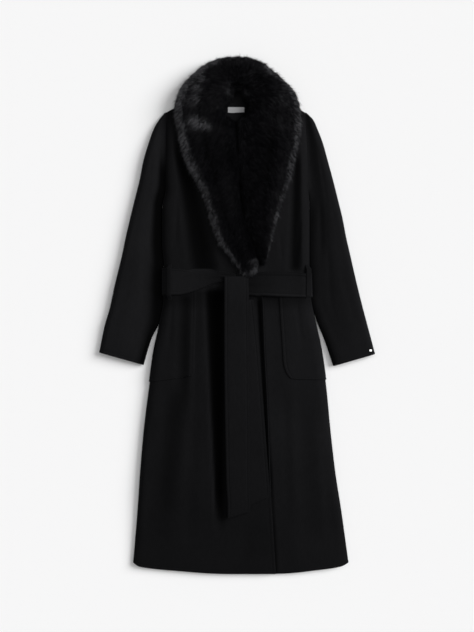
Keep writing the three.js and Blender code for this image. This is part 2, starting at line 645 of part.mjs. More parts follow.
// One half of the fur collar: rounded rings from the centre back to the tip
function collarHalf(side, table) {
  const points = [];
  const sides = COLLAR_RING_SIDES;
  const squared = (value) => Math.sign(value) * Math.abs(value) ** COLLAR_SQUARENESS;
  const widest = squared(Math.cos(Math.PI / sides));
  table.forEach((row) => {
    const outer = new THREE.Vector2(row.outerX, row.outerY);
    const inner = new THREE.Vector2(row.innerX, row.innerY);
    const middle = outer.clone().add(inner).multiplyScalar(0.5);
    const half = inner.clone().sub(outer).multiplyScalar(0.5);
    const centreZ = (row.top + row.base) / 2;
    const halfZ = (row.top - row.base) / 2;
    for (let k = 0; k < sides; k += 1) {
      const angle = (2 * Math.PI * (k + 0.5)) / sides;
      const place = middle.clone().addScaledVector(half, squared(Math.cos(angle)) / widest);
      const z = centreZ + (halfZ * squared(Math.sin(angle))) / widest;
      points.push(new THREE.Vector3(place.x + side * COLLAR_HALF_GAP, place.y, Math.max(z, 0)));
    }
  });
  const triangles = [];
  const at = (ring, k) => ring * sides + (k % sides);
  for (let ring = 0; ring < table.length - 1; ring += 1) {
    for (let k = 0; k < sides; k += 1) {
      triangles.push(at(ring, k), at(ring, k + 1), at(ring + 1, k + 1));
      triangles.push(at(ring, k), at(ring + 1, k + 1), at(ring + 1, k));
    }
  }
  const end = table.length - 1;
  for (let k = 1; k < sides - 1; k += 1) {
    triangles.push(at(0, 0), at(0, k + 1), at(0, k));
    triangles.push(at(end, 0), at(end, k), at(end, k + 1));
  }
  return toSolid(closedMesh(points, triangles));
}

// The part of the collar that folds over the neck and lies under the back
function collarFall(side) {
  const outline = rectangle({
    x: side * (COLLAR_HALF_GAP + FALL.halfWidth / 2),
    y: (FALL.bottom + FALL.top) / 2,
    width: FALL.halfWidth,
    height: FALL.top - FALL.bottom,
  });
  return prism(outline, 0, FALL.height);
}

// A hanging end of the belt: a flat band whose rows follow the table, closed by a slanted end
function tail(table, end) {
  const last = table[table.length - 1];
  const upper = [];
  const lower = [];
  for (let j = 0; j <= table.length; j += 1) {
    const atEnd = j === table.length;
    const row = atEnd ? last : table[j];
    for (let i = 0; i <= TAIL_COLUMNS; i += 1) {
      const share = i / TAIL_COLUMNS;
      const x = lerp(row.left, row.right, share);
      const y = atEnd ? lerp(end.left, end.right, share) : row.y;
      const z = atEnd ? last.z - TAIL_END_DROP : row.z;
      upper.push(new THREE.Vector3(x, y, z));
      lower.push(new THREE.Vector3(x, y, z - TAIL_THICKNESS));
    }
  }
  return wall({ columns: TAIL_COLUMNS, rows: table.length }, upper, lower);
}

const UP = new THREE.Vector3(0, 0, 1);
const DOWN = new THREE.Vector3(0, 0, -1);
const ROWS = STATIONS.length - 1;
const frontRight = sampleFace((u, v) => frontPoint(-1, u, v), FRONT_COLUMNS, ROWS, UP);
const frontLeft = sampleFace((u, v) => frontPoint(1, u, v), FRONT_COLUMNS, ROWS, UP);
const levelLeft = sampleFace((u, v) => frontPoint(1, u, v, false), FRONT_COLUMNS, ROWS, UP);
const back = sampleFace((u, v) => backPoint(u, v), BACK_COLUMNS, ROWS, DOWN);
const stationsRight = sleeveStations(SLEEVE_RIGHT);
const stationsLeft = sleeveStations(SLEEVE_LEFT);
const sleeveFace = (side, table, stations, under) => sampleFace(
  (u, v) => sleevePoint(side, table, stations, under, u, v),
  SLEEVE_COLUMNS,
  stations.length - 1,
  under ? DOWN : UP,
);
const sleeveRightTop = sleeveFace(-1, SLEEVE_RIGHT, stationsRight, false);
const sleeveRightUnder = sleeveFace(-1, SLEEVE_RIGHT, stationsRight, true);
const sleeveLeftTop = sleeveFace(1, SLEEVE_LEFT, stationsLeft, false);
const sleeveLeftUnder = sleeveFace(1, SLEEVE_LEFT, stationsLeft, true);

// Pockets and belt lie on the fronts
const POCKET_TOP_FACE = SEAM + POCKET_THICKNESS;
const slab = (face, from, to) => toSolid(layerOver(face, from, to));
const onFace = (face, from, to, outline) => slab(face, from, to).intersect(prism(outline));
const pocketRight = onFace(frontRight, SEAM, POCKET_TOP_FACE, pocketOutline(POCKET_RIGHT));
const pocketLeft = onFace(frontLeft, SEAM, POCKET_TOP_FACE, pocketOutline(POCKET_LEFT));
const BELT_FROM = POCKET_TOP_FACE + SEAM;
const BELT_TO = BELT_FROM + BELT_THICKNESS;
const beltRight = onFace(frontRight, BELT_FROM, BELT_TO, bandOutline(BELT_RIGHT));
const beltLeftOver = onFace(levelLeft, BELT_FROM, BELT_TO, bandOutline(BELT_LEFT));
const beltLeft = cutBy(beltLeftOver, [toSolid(room(frontRight, SEAM, BELOW_ALL))]);
const beltOnBack = (x, width) => onFace(back, SEAM, SEAM + BELT_THICKNESS, rectangle({
  x,
  y: (BELT_BACK.top + BELT_BACK.bottom) / 2,
  width,
  height: BELT_BACK.top - BELT_BACK.bottom,
}));
const beltBack = beltOnBack(0, BELT_BACK.flat);
const beltSideWidth = (BELT_BACK.width - BELT_BACK.flat) / 2 - SEAM;
const beltSideX = (BELT_BACK.width - beltSideWidth) / 2;

// The collar rests on the fronts and the back's neck
const fronts = [frontRight, frontLeft];
const frontsBelow = fronts.map((face) => toSolid(room(face, 2 * SEAM, BELOW_ALL)));
const backInner = sampleFace((u, v) => backPoint(u, v), BACK_COLUMNS, ROWS, UP);
const backBelow = toSolid(room(backInner, CLOTH + SEAM, BELOW_ALL));
const backAbove = toSolid(room(back, SEAM, ABOVE_ALL));
const roundFronts = fronts.map((face) => slab(face, -CLOTH - SEAM, SEAM));
function collar(side, table) {
  const over = cutBy(collarHalf(side, table), [...frontsBelow, backBelow, ...roundFronts]);
  const fall = cutBy(collarFall(side), [backAbove, ...roundFronts]);
  return over.add(fall);
}

const LABEL_FROM = CLOTH + SEAM;
const label = onFace(backInner, LABEL_FROM, LABEL_FROM + LABEL.thickness, rectangle(LABEL));
const cuffTag = onFace(sleeveLeftTop, SEAM, SEAM + CUFF_TAG.thickness, rectangle(CUFF_TAG));

// A loop stands over the belt, a little longer than the belt is wide
const LOOP_FROM = BELT_TO + SEAM;
function beltLoop({ side, x }) {
  const face = side < 0 ? frontRight : frontLeft;
  return onFace(face, LOOP_FROM, LOOP_FROM + BELT_LOOP.thickness, rectangle({
    x,
    y: (BELT_LOOP.top + BELT_LOOP.bottom) / 2,
    width: BELT_LOOP.width,
    height: BELT_LOOP.top - BELT_LOOP.bottom,
  }));
}

// The coat
const coat = new THREE.Group();
function addPiece(name, geometry, look) {
  const material = new THREE.MeshStandardMaterial(look);
  const mesh = new THREE.Mesh(geometry, material);
  mesh.name = name;
  coat.add(mesh);
}

addPiece('back', clothWall(back), WOOL);
addPiece('front_right', clothWall(frontRight), WOOL);
addPiece('front_left', clothWall(frontLeft), WOOL);
addPiece('sleeve_right_top', clothWall(sleeveRightTop), WOOL);
addPiece('sleeve_right_under', clothWall(sleeveRightUnder), WOOL);
addPiece('sleeve_left_top', clothWall(sleeveLeftTop), WOOL);
addPiece('sleeve_left_under', clothWall(sleeveLeftUnder), WOOL);
addPiece('collar_right', toGeometry(collar(-1, COLLAR_RIGHT)), FUR);
addPiece('collar_left', toGeometry(collar(1, COLLAR_LEFT)), FUR);
addPiece('pocket_right', toGeometry(pocketRight), WOOL);
addPiece('pocket_left', toGeometry(pocketLeft), WOOL);
addPiece('belt_back', toGeometry(beltBack), WOOL);
addPiece('belt_side_right', toGeometry(beltOnBack(-beltSideX, beltSideWidth)), WOOL);
addPiece('belt_side_left', toGeometry(beltOnBack(beltSideX, beltSideWidth)), WOOL);
addPiece('belt_right', toGeometry(beltRight), WOOL);
addPiece('belt_left', toGeometry(beltLeft), WOOL);
for (const loop of BELT_LOOPS) addPiece(loop.name, toGeometry(beltLoop(loop)), WOOL);
addPiece('belt_tail_front', tail(TAIL_FRONT, TAIL_FRONT_END), WOOL);
addPiece('belt_tail_under', tail(TAIL_UNDER, TAIL_UNDER_END), WOOL);
addPiece('neck_label', toGeometry(label), LABEL_CLOTH);
addPiece('cuff_tag', toGeometry(cuffTag), TAG_METAL);

export default coat;
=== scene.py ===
"""A long wrap coat in black wool with a fur shawl collar and a tied belt, laid flat and seen from above.

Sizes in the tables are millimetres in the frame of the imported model; meshes are made in metres.
X runs across the coat, Y from hem to collar, Z up from the surface that it lies on.
"""
import math

import bmesh
import bpy
import numpy as np
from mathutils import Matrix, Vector


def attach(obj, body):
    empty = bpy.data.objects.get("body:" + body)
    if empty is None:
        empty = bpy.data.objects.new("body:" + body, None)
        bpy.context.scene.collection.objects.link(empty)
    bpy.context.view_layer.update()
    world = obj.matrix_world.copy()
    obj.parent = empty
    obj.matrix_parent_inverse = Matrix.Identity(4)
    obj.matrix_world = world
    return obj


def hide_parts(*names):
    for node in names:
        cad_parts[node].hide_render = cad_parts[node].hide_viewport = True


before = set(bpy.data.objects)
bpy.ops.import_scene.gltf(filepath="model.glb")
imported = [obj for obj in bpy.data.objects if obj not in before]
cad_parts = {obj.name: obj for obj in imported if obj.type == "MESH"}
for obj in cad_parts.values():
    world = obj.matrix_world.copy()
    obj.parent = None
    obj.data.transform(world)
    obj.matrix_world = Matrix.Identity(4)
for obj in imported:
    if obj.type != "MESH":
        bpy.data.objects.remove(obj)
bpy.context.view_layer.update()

MM = 0.001
RANDOM_SEED = 11

# Driving dimensions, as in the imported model
CLOTH = 2.5
SEAM = 0.3
BODY_HEIGHT = 24
HEM_HEIGHT = 15
SHOULDER_HEIGHT = 9
SIDE_SEAM_HEIGHT = 7
SIDE_ROUND = 24
BACK_CURL = 9
UNDERARM_Y = 277
SHOULDER_TIP_Y = 521
HEM_CORNER_Y = -631
NECK_POINT_X, NECK_POINT_Y = 64, 585
SHOULDER_RIGHT_X, SHOULDER_LEFT_X = 182, 173
SHOULDER_RAMP = 60
NECK_DIP = 10
NECK_RAISE = 20
NECK_LIFT = dict(half_width=155, ramp=90, from_y=440, to_y=500)
FULL_OVER_LIFT = 12
HEM_RAMP = (-660, -430)
ARMHOLE_HEIGHT = 14
ARMHOLE_RAMP = 70
BELT_THICKNESS = 4
BELT_CHANNEL = dict(y=88, half_width=76, ramp=40, depth=BELT_THICKNESS + 2 * SEAM)
POCKET_THICKNESS = 2
UNDER_GAP = 2
STITCH_INSET = 7
BELT_TOP = SEAM + POCKET_THICKNESS + SEAM + BELT_THICKNESS
UNDER_RAMP = (10, 70)

# Shares of a piece's width that turn over its edges, and the angles at which the turns start
TURN_SHARE = 0.25
CURL_SHARE = 0.125
SHOULDER_START = math.pi / 5
SLEEVE_START = math.pi / 4
LEAST_ROUND = 0.42

BODY_SIDES = dict(
    y=[521, 454, 328, 277, 187, 118, 49, -23, -87, -180, -292, -395, -497, -631],
    left=[-182, -183, -183, -192, -192, -187, -187, -199, -213, -226, -240, -249, -256, -267],
    right=[173, 177, 182, 185, 185, 185, 187, 201, 215, 228, 239, 251, 267, 285],
)
FRONT_EDGES = dict(
    y=[585, 556, 520, 482, 426, 315, 246, 205, 172, 131, 41, -87, -215, -420, -535, -660],
    upper=[-64, -42, -30, -8, 1, 8, 18, 31, 43, 54, 65, 69, 76, 83, 90, 98],
    under=[64, 44, 28, 8, 0, -4, -4, -5, -6, -7, -8, -10, -12, -15, -17, -18],
)
HEM = dict(
    x=[-268, -250, -167, -18, 98, 205, 264, 286],
    y=[-631, -641, -651, -660, -660, -650, -641, -631],
)
SLEEVE_RIGHT = dict(
    y=[521, 497, 467, 426, 380, 328, 277, 226, 174, 123, 49, -15, -56, -125],
    inner=[-182, -183, -183, -183, -183, -183, -192, -192, -190, -187, -187, -199, -219, -240],
    outer=[-189, -201, -214, -227, -240, -251, -263, -275, -286, -296, -314, -328, -340, -354],
    rise=[-4, 5, 13, 18, 21, 18, 21, 23, 28, 31, 31, 31, 31, 32],
    crown=[12, 17, 21, 24, 25, 25, 25, 25, 25, 25, 25, 24, 23, 20],
    dip=[9, 12, 13, 13, 13, 12, 11, 11, 11, 12, 13, 15, 16, 17],
)
SLEEVE_LEFT = dict(
    y=[521, 497, 467, 426, 380, 328, 277, 226, 174, 123, 49, -15, -56, -128],
    inner=[173, 175, 177, 178, 180, 182, 185, 185, 185, 185, 187, 204, 221, 246],
    outer=[181, 195, 205, 219, 231, 246, 258, 270, 279, 290, 307, 323, 334, 353],
    rise=[-4, 5, 13, 18, 21, 18, 21, 23, 28, 31, 31, 31, 31, 31],
    crown=[12, 17, 21, 24, 25, 25, 25, 25, 25, 25, 25, 24, 23, 20],
    dip=[9, 12, 13, 13, 13, 12, 11, 11, 11, 12, 13, 15, 16, 17],
)
SLEEVE_OUTER_ROUND = 16
SLEEVE_INNER_ROUND = 12
SLEEVE_SEAM_HEIGHT = 7
BESIDE_BELT = 2
BELT_HALF = 36

# The grids of the cloth, and the rings round a cloth edge
BODY_ROWS, FRONT_COLUMNS, BACK_COLUMNS = 144, 64, 84
SLEEVE_ROWS, SLEEVE_COLUMNS = 92, 38
RIM_STEPS = 3
FAR_FROM_EDGE = 99.0

# Valleys in the fronts: x, y and half width at each end, depth, how far painted shade darkens
# them, and the shares of their length over which they rise at the first end and fade at the other
FOLDS = [
    dict(x=-156, y=480, to_x=-84, to_y=108, half=18, to_half=48, depth=9, shade=0.78, fade=0.25, last=0.97,
         flat=1.5),
    dict(x=150, y=430, to_x=146, to_y=108, half=16, to_half=24, depth=7, shade=0.74, fade=0.15, last=0.95),
    dict(x=-137, y=60, to_x=-142, to_y=-260, half=24, depth=6, shade=0.42, fade=0.06, last=0.6),
    dict(x=-150, y=-140, to_x=-205, to_y=-600, half=44, depth=5, shade=0.40),
    dict(x=-58, y=76, to_x=-43, to_y=-570, half=32, to_half=12, depth=15, shade=0.90, fade=0.03, last=0.8,
         flat=2.2),
    dict(x=53, y=58, to_x=84, to_y=-490, half=12, to_half=6, depth=9, shade=0.72, fade=0.05, last=0.8),
    dict(x=165, y=-200, to_x=190, to_y=-600, half=40, depth=3, shade=0.10),
]
CREASES = [
    dict(x=-152, y=330, to_x=-158, to_y=150, half=9, depth=1.6),
    dict(x=-98, y=230, to_x=-92, to_y=128, half=8, depth=1.4),
    dict(x=160, y=250, to_x=152, to_y=132, half=9, depth=1.8),
    dict(x=108, y=210, to_x=116, to_y=128, half=7, depth=1.2),
    dict(x=-165, y=45, to_x=-176, to_y=-110, half=12, depth=1.6),
    dict(x=150, y=42, to_x=168, to_y=-95, half=12, depth=1.4),
    dict(x=-104, y=40, to_x=-112, to_y=-330, half=16, depth=1.6),
    dict(x=-214, y=-230, to_x=-236, to_y=-600, half=22, depth=2.2),
    dict(x=-112, y=-240, to_x=-128, to_y=-640, half=26, depth=1.8),
    dict(x=120, y=-160, to_x=132, to_y=-560, half=22, depth=1.6),
    dict(x=222, y=-260, to_x=248, to_y=-610, half=24, depth=2.0),
    dict(x=20, y=-530, to_x=26, to_y=-652, half=30, depth=1.2),
]
SLEEVE_CREASES = [
    dict(share=0.62, y=300, to_share=0.72, to_y=120, half=0.12, depth=1.6),
    dict(share=0.50, y=190, to_share=0.66, to_y=-60, half=0.10, depth=1.3),
    dict(share=0.30, y=120, to_share=0.20, to_y=-70, half=0.09, depth=0.8),
    dict(share=0.80, y=60, to_share=0.74, to_y=-90, half=0.09, depth=1.1),
    dict(share=0.35, y=420, to_share=0.42, to_y=240, half=0.12, depth=1.0),
]

COLLAR_RIGHT = dict(
    outer_x=[0, -36, -68, -98, -128, -149, -158, -160, -155, -145, -125, -96, -73, -52, -26, 2, 20],
    outer_y=[663, 660, 650, 631, 603, 574, 546, 518, 477, 426, 380, 322, 254, 195, 159, 124, 103],
    inner_x=[0, -3, -6, -10, -14, -21, -28, -26, -3, 1, 5, 8, 17, 31, 43, 51, 47],
    inner_y=[574, 573, 571, 566, 556, 541, 526, 508, 482, 426, 369, 315, 252, 205, 172, 140, 113],
    base=[0, 0, 0, 0, 0, 2, 6, 10, 14, 16, 16, 16, 16, 16, 16, 16, 18],
    top=[62, 62, 61, 60, 58, 56, 54, 53, 52, 52, 51, 50, 49, 48, 46, 44, 40],
)
COLLAR_LEFT = dict(
    outer_x=[0, 36, 66, 98, 124, 146, 157, 162, 164, 155, 144, 126, 105, 90, 78, 62],
    outer_y=[663, 658, 645, 621, 596, 572, 546, 518, 479, 426, 377, 321, 256, 210, 169, 138],
    inner_x=[0, 4, 8, 12, 16, 20, 21, 17, -3, 1, 5, 8, 17, 31, 43, 51],
    inner_y=[574, 573, 571, 566, 556, 541, 526, 508, 482, 426, 369, 315, 252, 205, 172, 140],
    base=[0, 0, 0, 0, 0, 2, 6, 10, 14, 16, 16, 16, 16, 16, 18, 20],
    top=[62, 62, 61, 60, 58, 56, 54, 53, 52, 52, 51, 50, 48, 46, 43, 38],
)
FALL = dict(half_width=88, bottom=500, top=598, thickness=1.5, below_back=0.6, least=2.0, floor=0.3)

BELT_RIGHT = dict(
    x=[-205, -154, -118, -74, -38, -4],
    top=[124, 119, 112, 106, 102, 101],
    bottom=[54, 53, 57, 70, 79, 78],
)
BELT_LEFT = dict(
    x=[-3.4, 29, 67, 128, 171, 205],
    top=[101, 100, 101, 106, 108, 108],
    bottom=[66, 47, 45, 46, 48, 50],
)
BELT_BACK_TOP, BELT_BACK_BOTTOM = 122, 54
BELT_WIDTH = 60
BELT_LOOP = dict(width=9, top=130, bottom=40, thickness=2)
BELT_LOOP_RIGHT_X, BELT_LOOP_LEFT_X = -172, 178
TAIL_FRONT = dict(
    y=[100, 92, 60, 40, -20, -87, -215, -320, -420, -472],
    left=[-33, -33, -33, -33, -33, -33, -32, -30, -28, -25],
    right=[28, 28, 29, 29, 29, 30, 31, 32, 32, 33],
    z=[35.6, 37.5, 39.5, 40.2, 38.8, 37.6, 36.1, 35.1, 34.6, 34.6],
)
TAIL_FRONT_END = (-516, -497)
TAIL_UNDER = dict(
    y=[40, 0, -87, -215, -320, -400, -440],
    left=[-10, -8, -6, 0, 6, 12, 14],
    right=[42, 46, 55, 65, 73, 79, 82],
    z=[35.2, 34, 32.5, 31, 30, 29.5, 29.5],
)
TAIL_UNDER_END = (-492, -461)
# The visible tails are 0.6 thinner than their solids
TAIL_CLOTH = 3.9
POCKET_RIGHT = dict(top=64, inner_top=-105, inner_bottom=-110, corner_x=-121, corner_y=-143,
                    bottom_inner=-154, bottom_outer=-168, outer=-225)
POCKET_LEFT = dict(top=64, inner_top=106, inner_bottom=117, corner_x=144, corner_y=-100,
                   bottom_inner=-160, bottom_outer=-162, outer=225)

# Painted light and shade in the wool's colour: how light each side is painted on the wearer's right (-1)
# and left (1), the painted shadow of the body on the sleeves, and painted shade under the belt, beside the
# sleeves and below the front edge, with a painted shade line and a painted highlight line on the belt
FRONT_PAINTED_LIGHT = {-1: 0.97, 1: 1.18}
POCKET_PAINTED_LIGHT = {-1: 1.0, 1: 1.2}
SLEEVE_PAINTED_LIGHT = {-1: 1.27, 1: 1.21}
SLEEVE_SHADE = {-1: 0.90, 1: 0.58}
SLEEVE_SHADE_ABOVE_ARM = {-1: 170, 1: 50}
UNDER_BELT = dict(from_y=8, to_y=44, end_y=60, last_y=64, shade=0.35)
BESIDE_SLEEVE = dict(from_y=-70, to_y=10, end_y=330, last_y=400, shade=0.25)
BELOW_EDGE = dict(x=3, half=5, from_y=330, to_y=420, shade=0.7)
PAINTED_BELT_LINES = [dict(from_top=6.5, half=1.6, gain=-0.35), dict(from_top=55.5, half=1.8, gain=0.30)]

# The relief of the edge stitching
STITCH_GROOVE, STITCH_SWELL = 0.55, 0.25
GROOVE_HALF, SWELL_HALF = 1.6, 2.4

# The fur: the insets of its roots and of a section's core, its length, and its clumps and locks
FUR_INSET = 9.0
CORE_INSET = 60.0
FUR_LENGTH = 25.0
STRANDS = 56000
STRAND_HALF_WIDTH = 0.32
STRAY_SHARE = 0.05
CLUMP = 7.5
LOCK = 3.2
SECTION_POWER = 0.62
# Painted highlight in the hair's colour on the wearer's right (-1) and left (1): a base amount and a share
# at the rim
FUR_PAINTED_HIGHLIGHT = {-1: 0.018, 1: 0.042}
RIM_PAINTED_HIGHLIGHT = {-1: 1.5, 1: 0.65}

# Painted highlights in the hair's colour where the pile parts: x, y, reach and strength
PAINTED_GLEAMS = [
    (-95, 495, 13, 0.70), (-78, 488, 11, 0.60), (-112, 502, 10, 0.50), (-64, 480, 8, 0.40),
    (-88, 620, 9, 0.50), (-85, 602, 9, 0.60), (-96, 579, 9, 0.45), (-102, 552, 14, 0.25),
    (-138, 560, 13, 0.30), (-128, 586, 9, 0.30), (-55, 643, 11, 0.30), (73, 628, 11, 0.60),
    (86, 618, 9, 0.40), (32, 610, 8, 0.12), (104, 554, 22, 0.10), (90, 492, 25, 0.09),
    (136, 579, 14, 0.14), (-24, 574, 5, 0.20), (-18, 586, 5, 0.14), (24, 572, 6, 0.12),
    (38, 146, 3, 0.60), (42, 138, 3, 0.80), (43, 129, 3, 0.80), (40, 120, 4, 0.50),
    (22, 118, 6, 0.40), (12, 112, 5, 0.35),
]

# The photograph's frame: 632 rows show 1620 mm of the surface
FRAME_HEIGHT = 1620.4
CAMERA_HEIGHT = 3800
FRAME_CENTRE_X, FRAME_CENTRE_Y = -0.8, 0
OUTLINE_LEVEL = 6
SENSOR = 36

# Each sun's place, spread in degrees and strength
SUNS = dict(key=((3.3, 1.2, 2.3), 36, 3.35), top=((0.2, 0.3, 4.0), 60, 0.98))
SKY_STRENGTH = 0.14


def smoothstep(value, low, high):
    t = np.clip((value - low) / (high - low), 0, 1)
    return t * t * (3 - 2 * t)


def lerp(a, b, t):
    return a + (b - a) * t


def follow(table, key, at, column):
    """Reads a column at a place, on a smooth curve through the table's rows."""
    xs = np.asarray(table[key], float)
    ys = np.asarray(table[column], float)
    if xs[0] > xs[-1]:
        xs, ys = xs[::-1], ys[::-1]
    step = np.diff(xs)
    slope = np.diff(ys) / step
    before = np.concatenate([[slope[0]], slope])
    after = np.concatenate([slope, [slope[-1]]])
    together = np.where(np.abs(before + after) < 1e-12, 1.0, before + after)
    tangent = np.where(before * after > 0, 2 * before * after / together, 0.0)
    at = np.clip(np.asarray(at, float), xs[0], xs[-1])
    i = np.clip(np.searchsorted(xs, at, side="right") - 1, 0, len(step) - 1)
    t = (at - xs[i]) / step[i]
    t2, t3 = t * t, t * t * t
    return ((2 * t3 - 3 * t2 + 1) * ys[i] + (t3 - 2 * t2 + t) * step[i] * tangent[i]
            + (3 * t2 - 2 * t3) * ys[i + 1] + (t3 - t2) * step[i] * tangent[i + 1])


def body_side(side, y):
    return follow(BODY_SIDES, "y", y, "left" if side < 0 else "right")


def front_edge(side, y):
    return follow(FRONT_EDGES, "y", y, "upper" if side < 0 else "under")


def shoulder_y(x):
    tip = np.where(x < 0, SHOULDER_RIGHT_X, SHOULDER_LEFT_X)
    run = (np.abs(x) - NECK_POINT_X) / (tip - NECK_POINT_X)
    line = lerp(NECK_POINT_Y, SHOULDER_TIP_Y, np.clip(run, 0, 1))
    neck = NECK_POINT_Y - NECK_DIP * (1 - (x / NECK_POINT_X) ** 2)
    return np.where(run >= 0, line, neck)


def neck_lift(x, y):
    across = smoothstep(NECK_LIFT["half_width"] - np.abs(x), 0, NECK_LIFT["ramp"])
    return NECK_RAISE * across * smoothstep(y, NECK_LIFT["from_y"], NECK_LIFT["to_y"])


def belt_lift(y):
    away = np.abs(y - BELT_CHANNEL["y"]) - BELT_CHANNEL["half_width"]
    return BELT_CHANNEL["depth"] * (1 - smoothstep(away, 0, BELT_CHANNEL["ramp"]))


def armhole_opening(y):
    s = np.clip((y - UNDERARM_Y) / (SHOULDER_TIP_Y - UNDERARM_Y), 0, 1)
    return np.sqrt(np.maximum(np.sin(math.pi * s), 0))


def side_closure(y):
    return 1 - smoothstep(y, UNDERARM_Y, UNDERARM_Y + ARMHOLE_RAMP)


def valley_share(x, y, fold):
    """How deep in a valley a place is, from 0 beside it to 1 along its middle."""
    t = (fold["y"] - y) / (fold["y"] - fold["to_y"])
    half = lerp(fold["half"], fold.get("to_half", fold["half"]), np.clip(t, 0, 1))
    away = np.clip(np.abs(x - lerp(fold["x"], fold["to_x"], t)) / half, 0, 1)
    ends = smoothstep(t, 0, fold.get("fade", 0.18)) * (1 - smoothstep(t, fold.get("last", 0.6), 1))
    return ends * (0.5 + 0.5 * np.cos(math.pi * away ** fold.get("flat", 1)))


def valley(x, y, fold):
    return fold["depth"] * valley_share(x, y, fold)


def soft_waves(x, y):
    """The cloth's small unevenness, in long and short soft waves."""
    long = np.sin(x / 31 + 0.9 * np.sin(y / 97)) * np.sin(y / 143 + 1.3 + 0.5 * np.sin(x / 57))
    short = np.sin(x / 13 + y / 71 + 1.1 * np.sin(y / 39)) * np.sin(y / 61 - x / 83)
    return 0.55 * long + 0.22 * short


def front_height(x, y, fine=True):
    z = lerp(HEM_HEIGHT, BODY_HEIGHT, smoothstep(y, *HEM_RAMP))
    for fold in FOLDS:
        z = z - valley(x, y, fold)
    lift = neck_lift(x, y)
    full = np.maximum(z, lift + FULL_OVER_LIFT)
    if fine:
        for crease in CREASES:
            full = full - valley(x, y, crease)
        full = full + soft_waves(x, y)
    return lerp(lift + SHOULDER_HEIGHT, full, smoothstep(shoulder_y(x) - y, 0, SHOULDER_RAMP))


def band_share(y, band):
    """From 0 to 1 over a band's first stretch, and back to 0 over its last one."""
    rise = smoothstep(y, band["from_y"], band["to_y"])
    return rise * (1 - smoothstep(y, band["end_y"], band["last_y"]))


def laid_nap(x, y):
    """Painted shade, as a factor on the wool's colour: darker in the deep folds and under the belt."""
    nap = np.ones_like(x)
    for fold in FOLDS:
        nap = nap * (1 - fold["shade"] * valley_share(x, y, fold))
    return nap * (1 - UNDER_BELT["shade"] * band_share(y, UNDER_BELT))


def under_drop(x, y):
    return (CLOTH + UNDER_GAP) * (1 - smoothstep(x - front_edge(-1, y), *UNDER_RAMP))


def row_y(x, side_y):
    share = (side_y - HEM_CORNER_Y) / (SHOULDER_TIP_Y - HEM_CORNER_Y)
    to_hem = (1 - share) ** 6 * (follow(HEM, "x", x, "y") - HEM_CORNER_Y)
    return side_y + to_hem + share ** 4 * (shoulder_y(x) - SHOULDER_TIP_Y)


def front_point(side, u, side_y, drop=True):
    """A place on a front's outer face: u runs from the side fold to the front edge."""
    edge_x = body_side(side, side_y)
    closed = side_closure(side_y)
    open_z = lerp(SHOULDER_HEIGHT, ARMHOLE_HEIGHT, armhole_opening(side_y))
    end_z = lerp(open_z, SIDE_SEAM_HEIGHT + SEAM / 2, closed)
    start = lerp(SHOULDER_START, 0, closed)
    angle = lerp(start, math.pi / 2, np.clip(u / TURN_SHARE, 0, 1))
    turned_x = edge_x - side * SIDE_ROUND * (np.cos(start) - np.cos(angle))
    flat_x = edge_x - side * SIDE_ROUND * np.cos(start)
    front_x = front_edge(side, row_y(front_edge(side, side_y), side_y))
    share = (u - TURN_SHARE) / (1 - TURN_SHARE)
    x = np.where(u > TURN_SHARE, lerp(flat_x, front_x, share), turned_x)
    y = row_y(x, side_y)
    top = front_height(x, y)
    if side > 0 and drop:
        top = top - under_drop(x, y)
    rise = (np.sin(angle) - np.sin(start)) / (1 - np.sin(start))
    return np.stack([x, y, lerp(end_z, top, rise)], axis=-1)


def front_u(side, x, side_y):
    """The u of a place at x on a front's flat part."""
    closed = side_closure(side_y)
    start = lerp(SHOULDER_START, 0, closed)
    flat_x = body_side(side, side_y) - side * SIDE_ROUND * np.cos(start)
    front_x = front_edge(side, row_y(front_edge(side, side_y), side_y))
    return TURN_SHARE + (1 - TURN_SHARE) * (x - flat_x) / (front_x - flat_x)


def back_point(u, side_y):
    """A place on the back's outer face, which lies on the surface."""
    side = np.where(u < 0.5, -1, 1)
    from_side = np.minimum(u, 1 - u)
    left, right = body_side(-1, side_y), body_side(1, side_y)
    edge_x = np.where(u < 0.5, left, right)
    angle = np.clip(from_side / CURL_SHARE, 0, 1) * (math.pi / 2)
    curled = edge_x - side * BACK_CURL * (1 - np.cos(angle))
    flat = lerp(left + BACK_CURL, right - BACK_CURL, (u - CURL_SHARE) / (1 - 2 * CURL_SHARE))
    x = np.where(from_side > CURL_SHARE, flat, curled)
    y = row_y(x, side_y)
    ground = neck_lift(x, y) + belt_lift(y)
    curl = side_closure(side_y) * (SIDE_SEAM_HEIGHT - SEAM / 2) * (1 - np.sin(angle))
    return np.stack([x, y, ground * np.sin(angle) + curl], axis=-1)


def sleeve_inner_x(side, table, y):
    """The inner line of a sleeve, which keeps beside the body and the belt round it."""
    past_belt = np.abs(y - BELT_CHANNEL["y"]) - BELT_HALF
    clear = body_side(side, y) + side * BESIDE_BELT * (1 - smoothstep(past_belt, -8, 6))
    below_arm = smoothstep(UNDERARM_Y - y, 0, 30)
    reach = np.maximum(side * follow(table, "y", y, "inner"), side * clear * below_arm)
    return np.where(y >= UNDERARM_Y, body_side(side, y) + side * SEAM, side * reach)


def sleeve_top(table, share, x, y, place_y):
    """The level of the sleeve's upper side: a crown outside, a dip inside, and its creases."""
    crown, dip = follow(table, "y", y, "crown"), follow(table, "y", y, "dip")
    top = lerp(crown, dip, smoothstep(share, 0.3, 0.95))
    for crease in SLEEVE_CREASES:
        t = (crease["y"] - y) / (crease["y"] - crease["to_y"])
        middle = lerp(crease["share"], crease["to_share"], t)
        away = np.clip(np.abs(share - middle) / crease["half"], 0, 1)
        ends = smoothstep(t, 0, 0.3) * (1 - smoothstep(t, 0.6, 1))
        top = top - crease["depth"] * ends * (0.5 + 0.5 * np.cos(math.pi * away))
    return top + 0.8 * soft_waves(x, place_y)


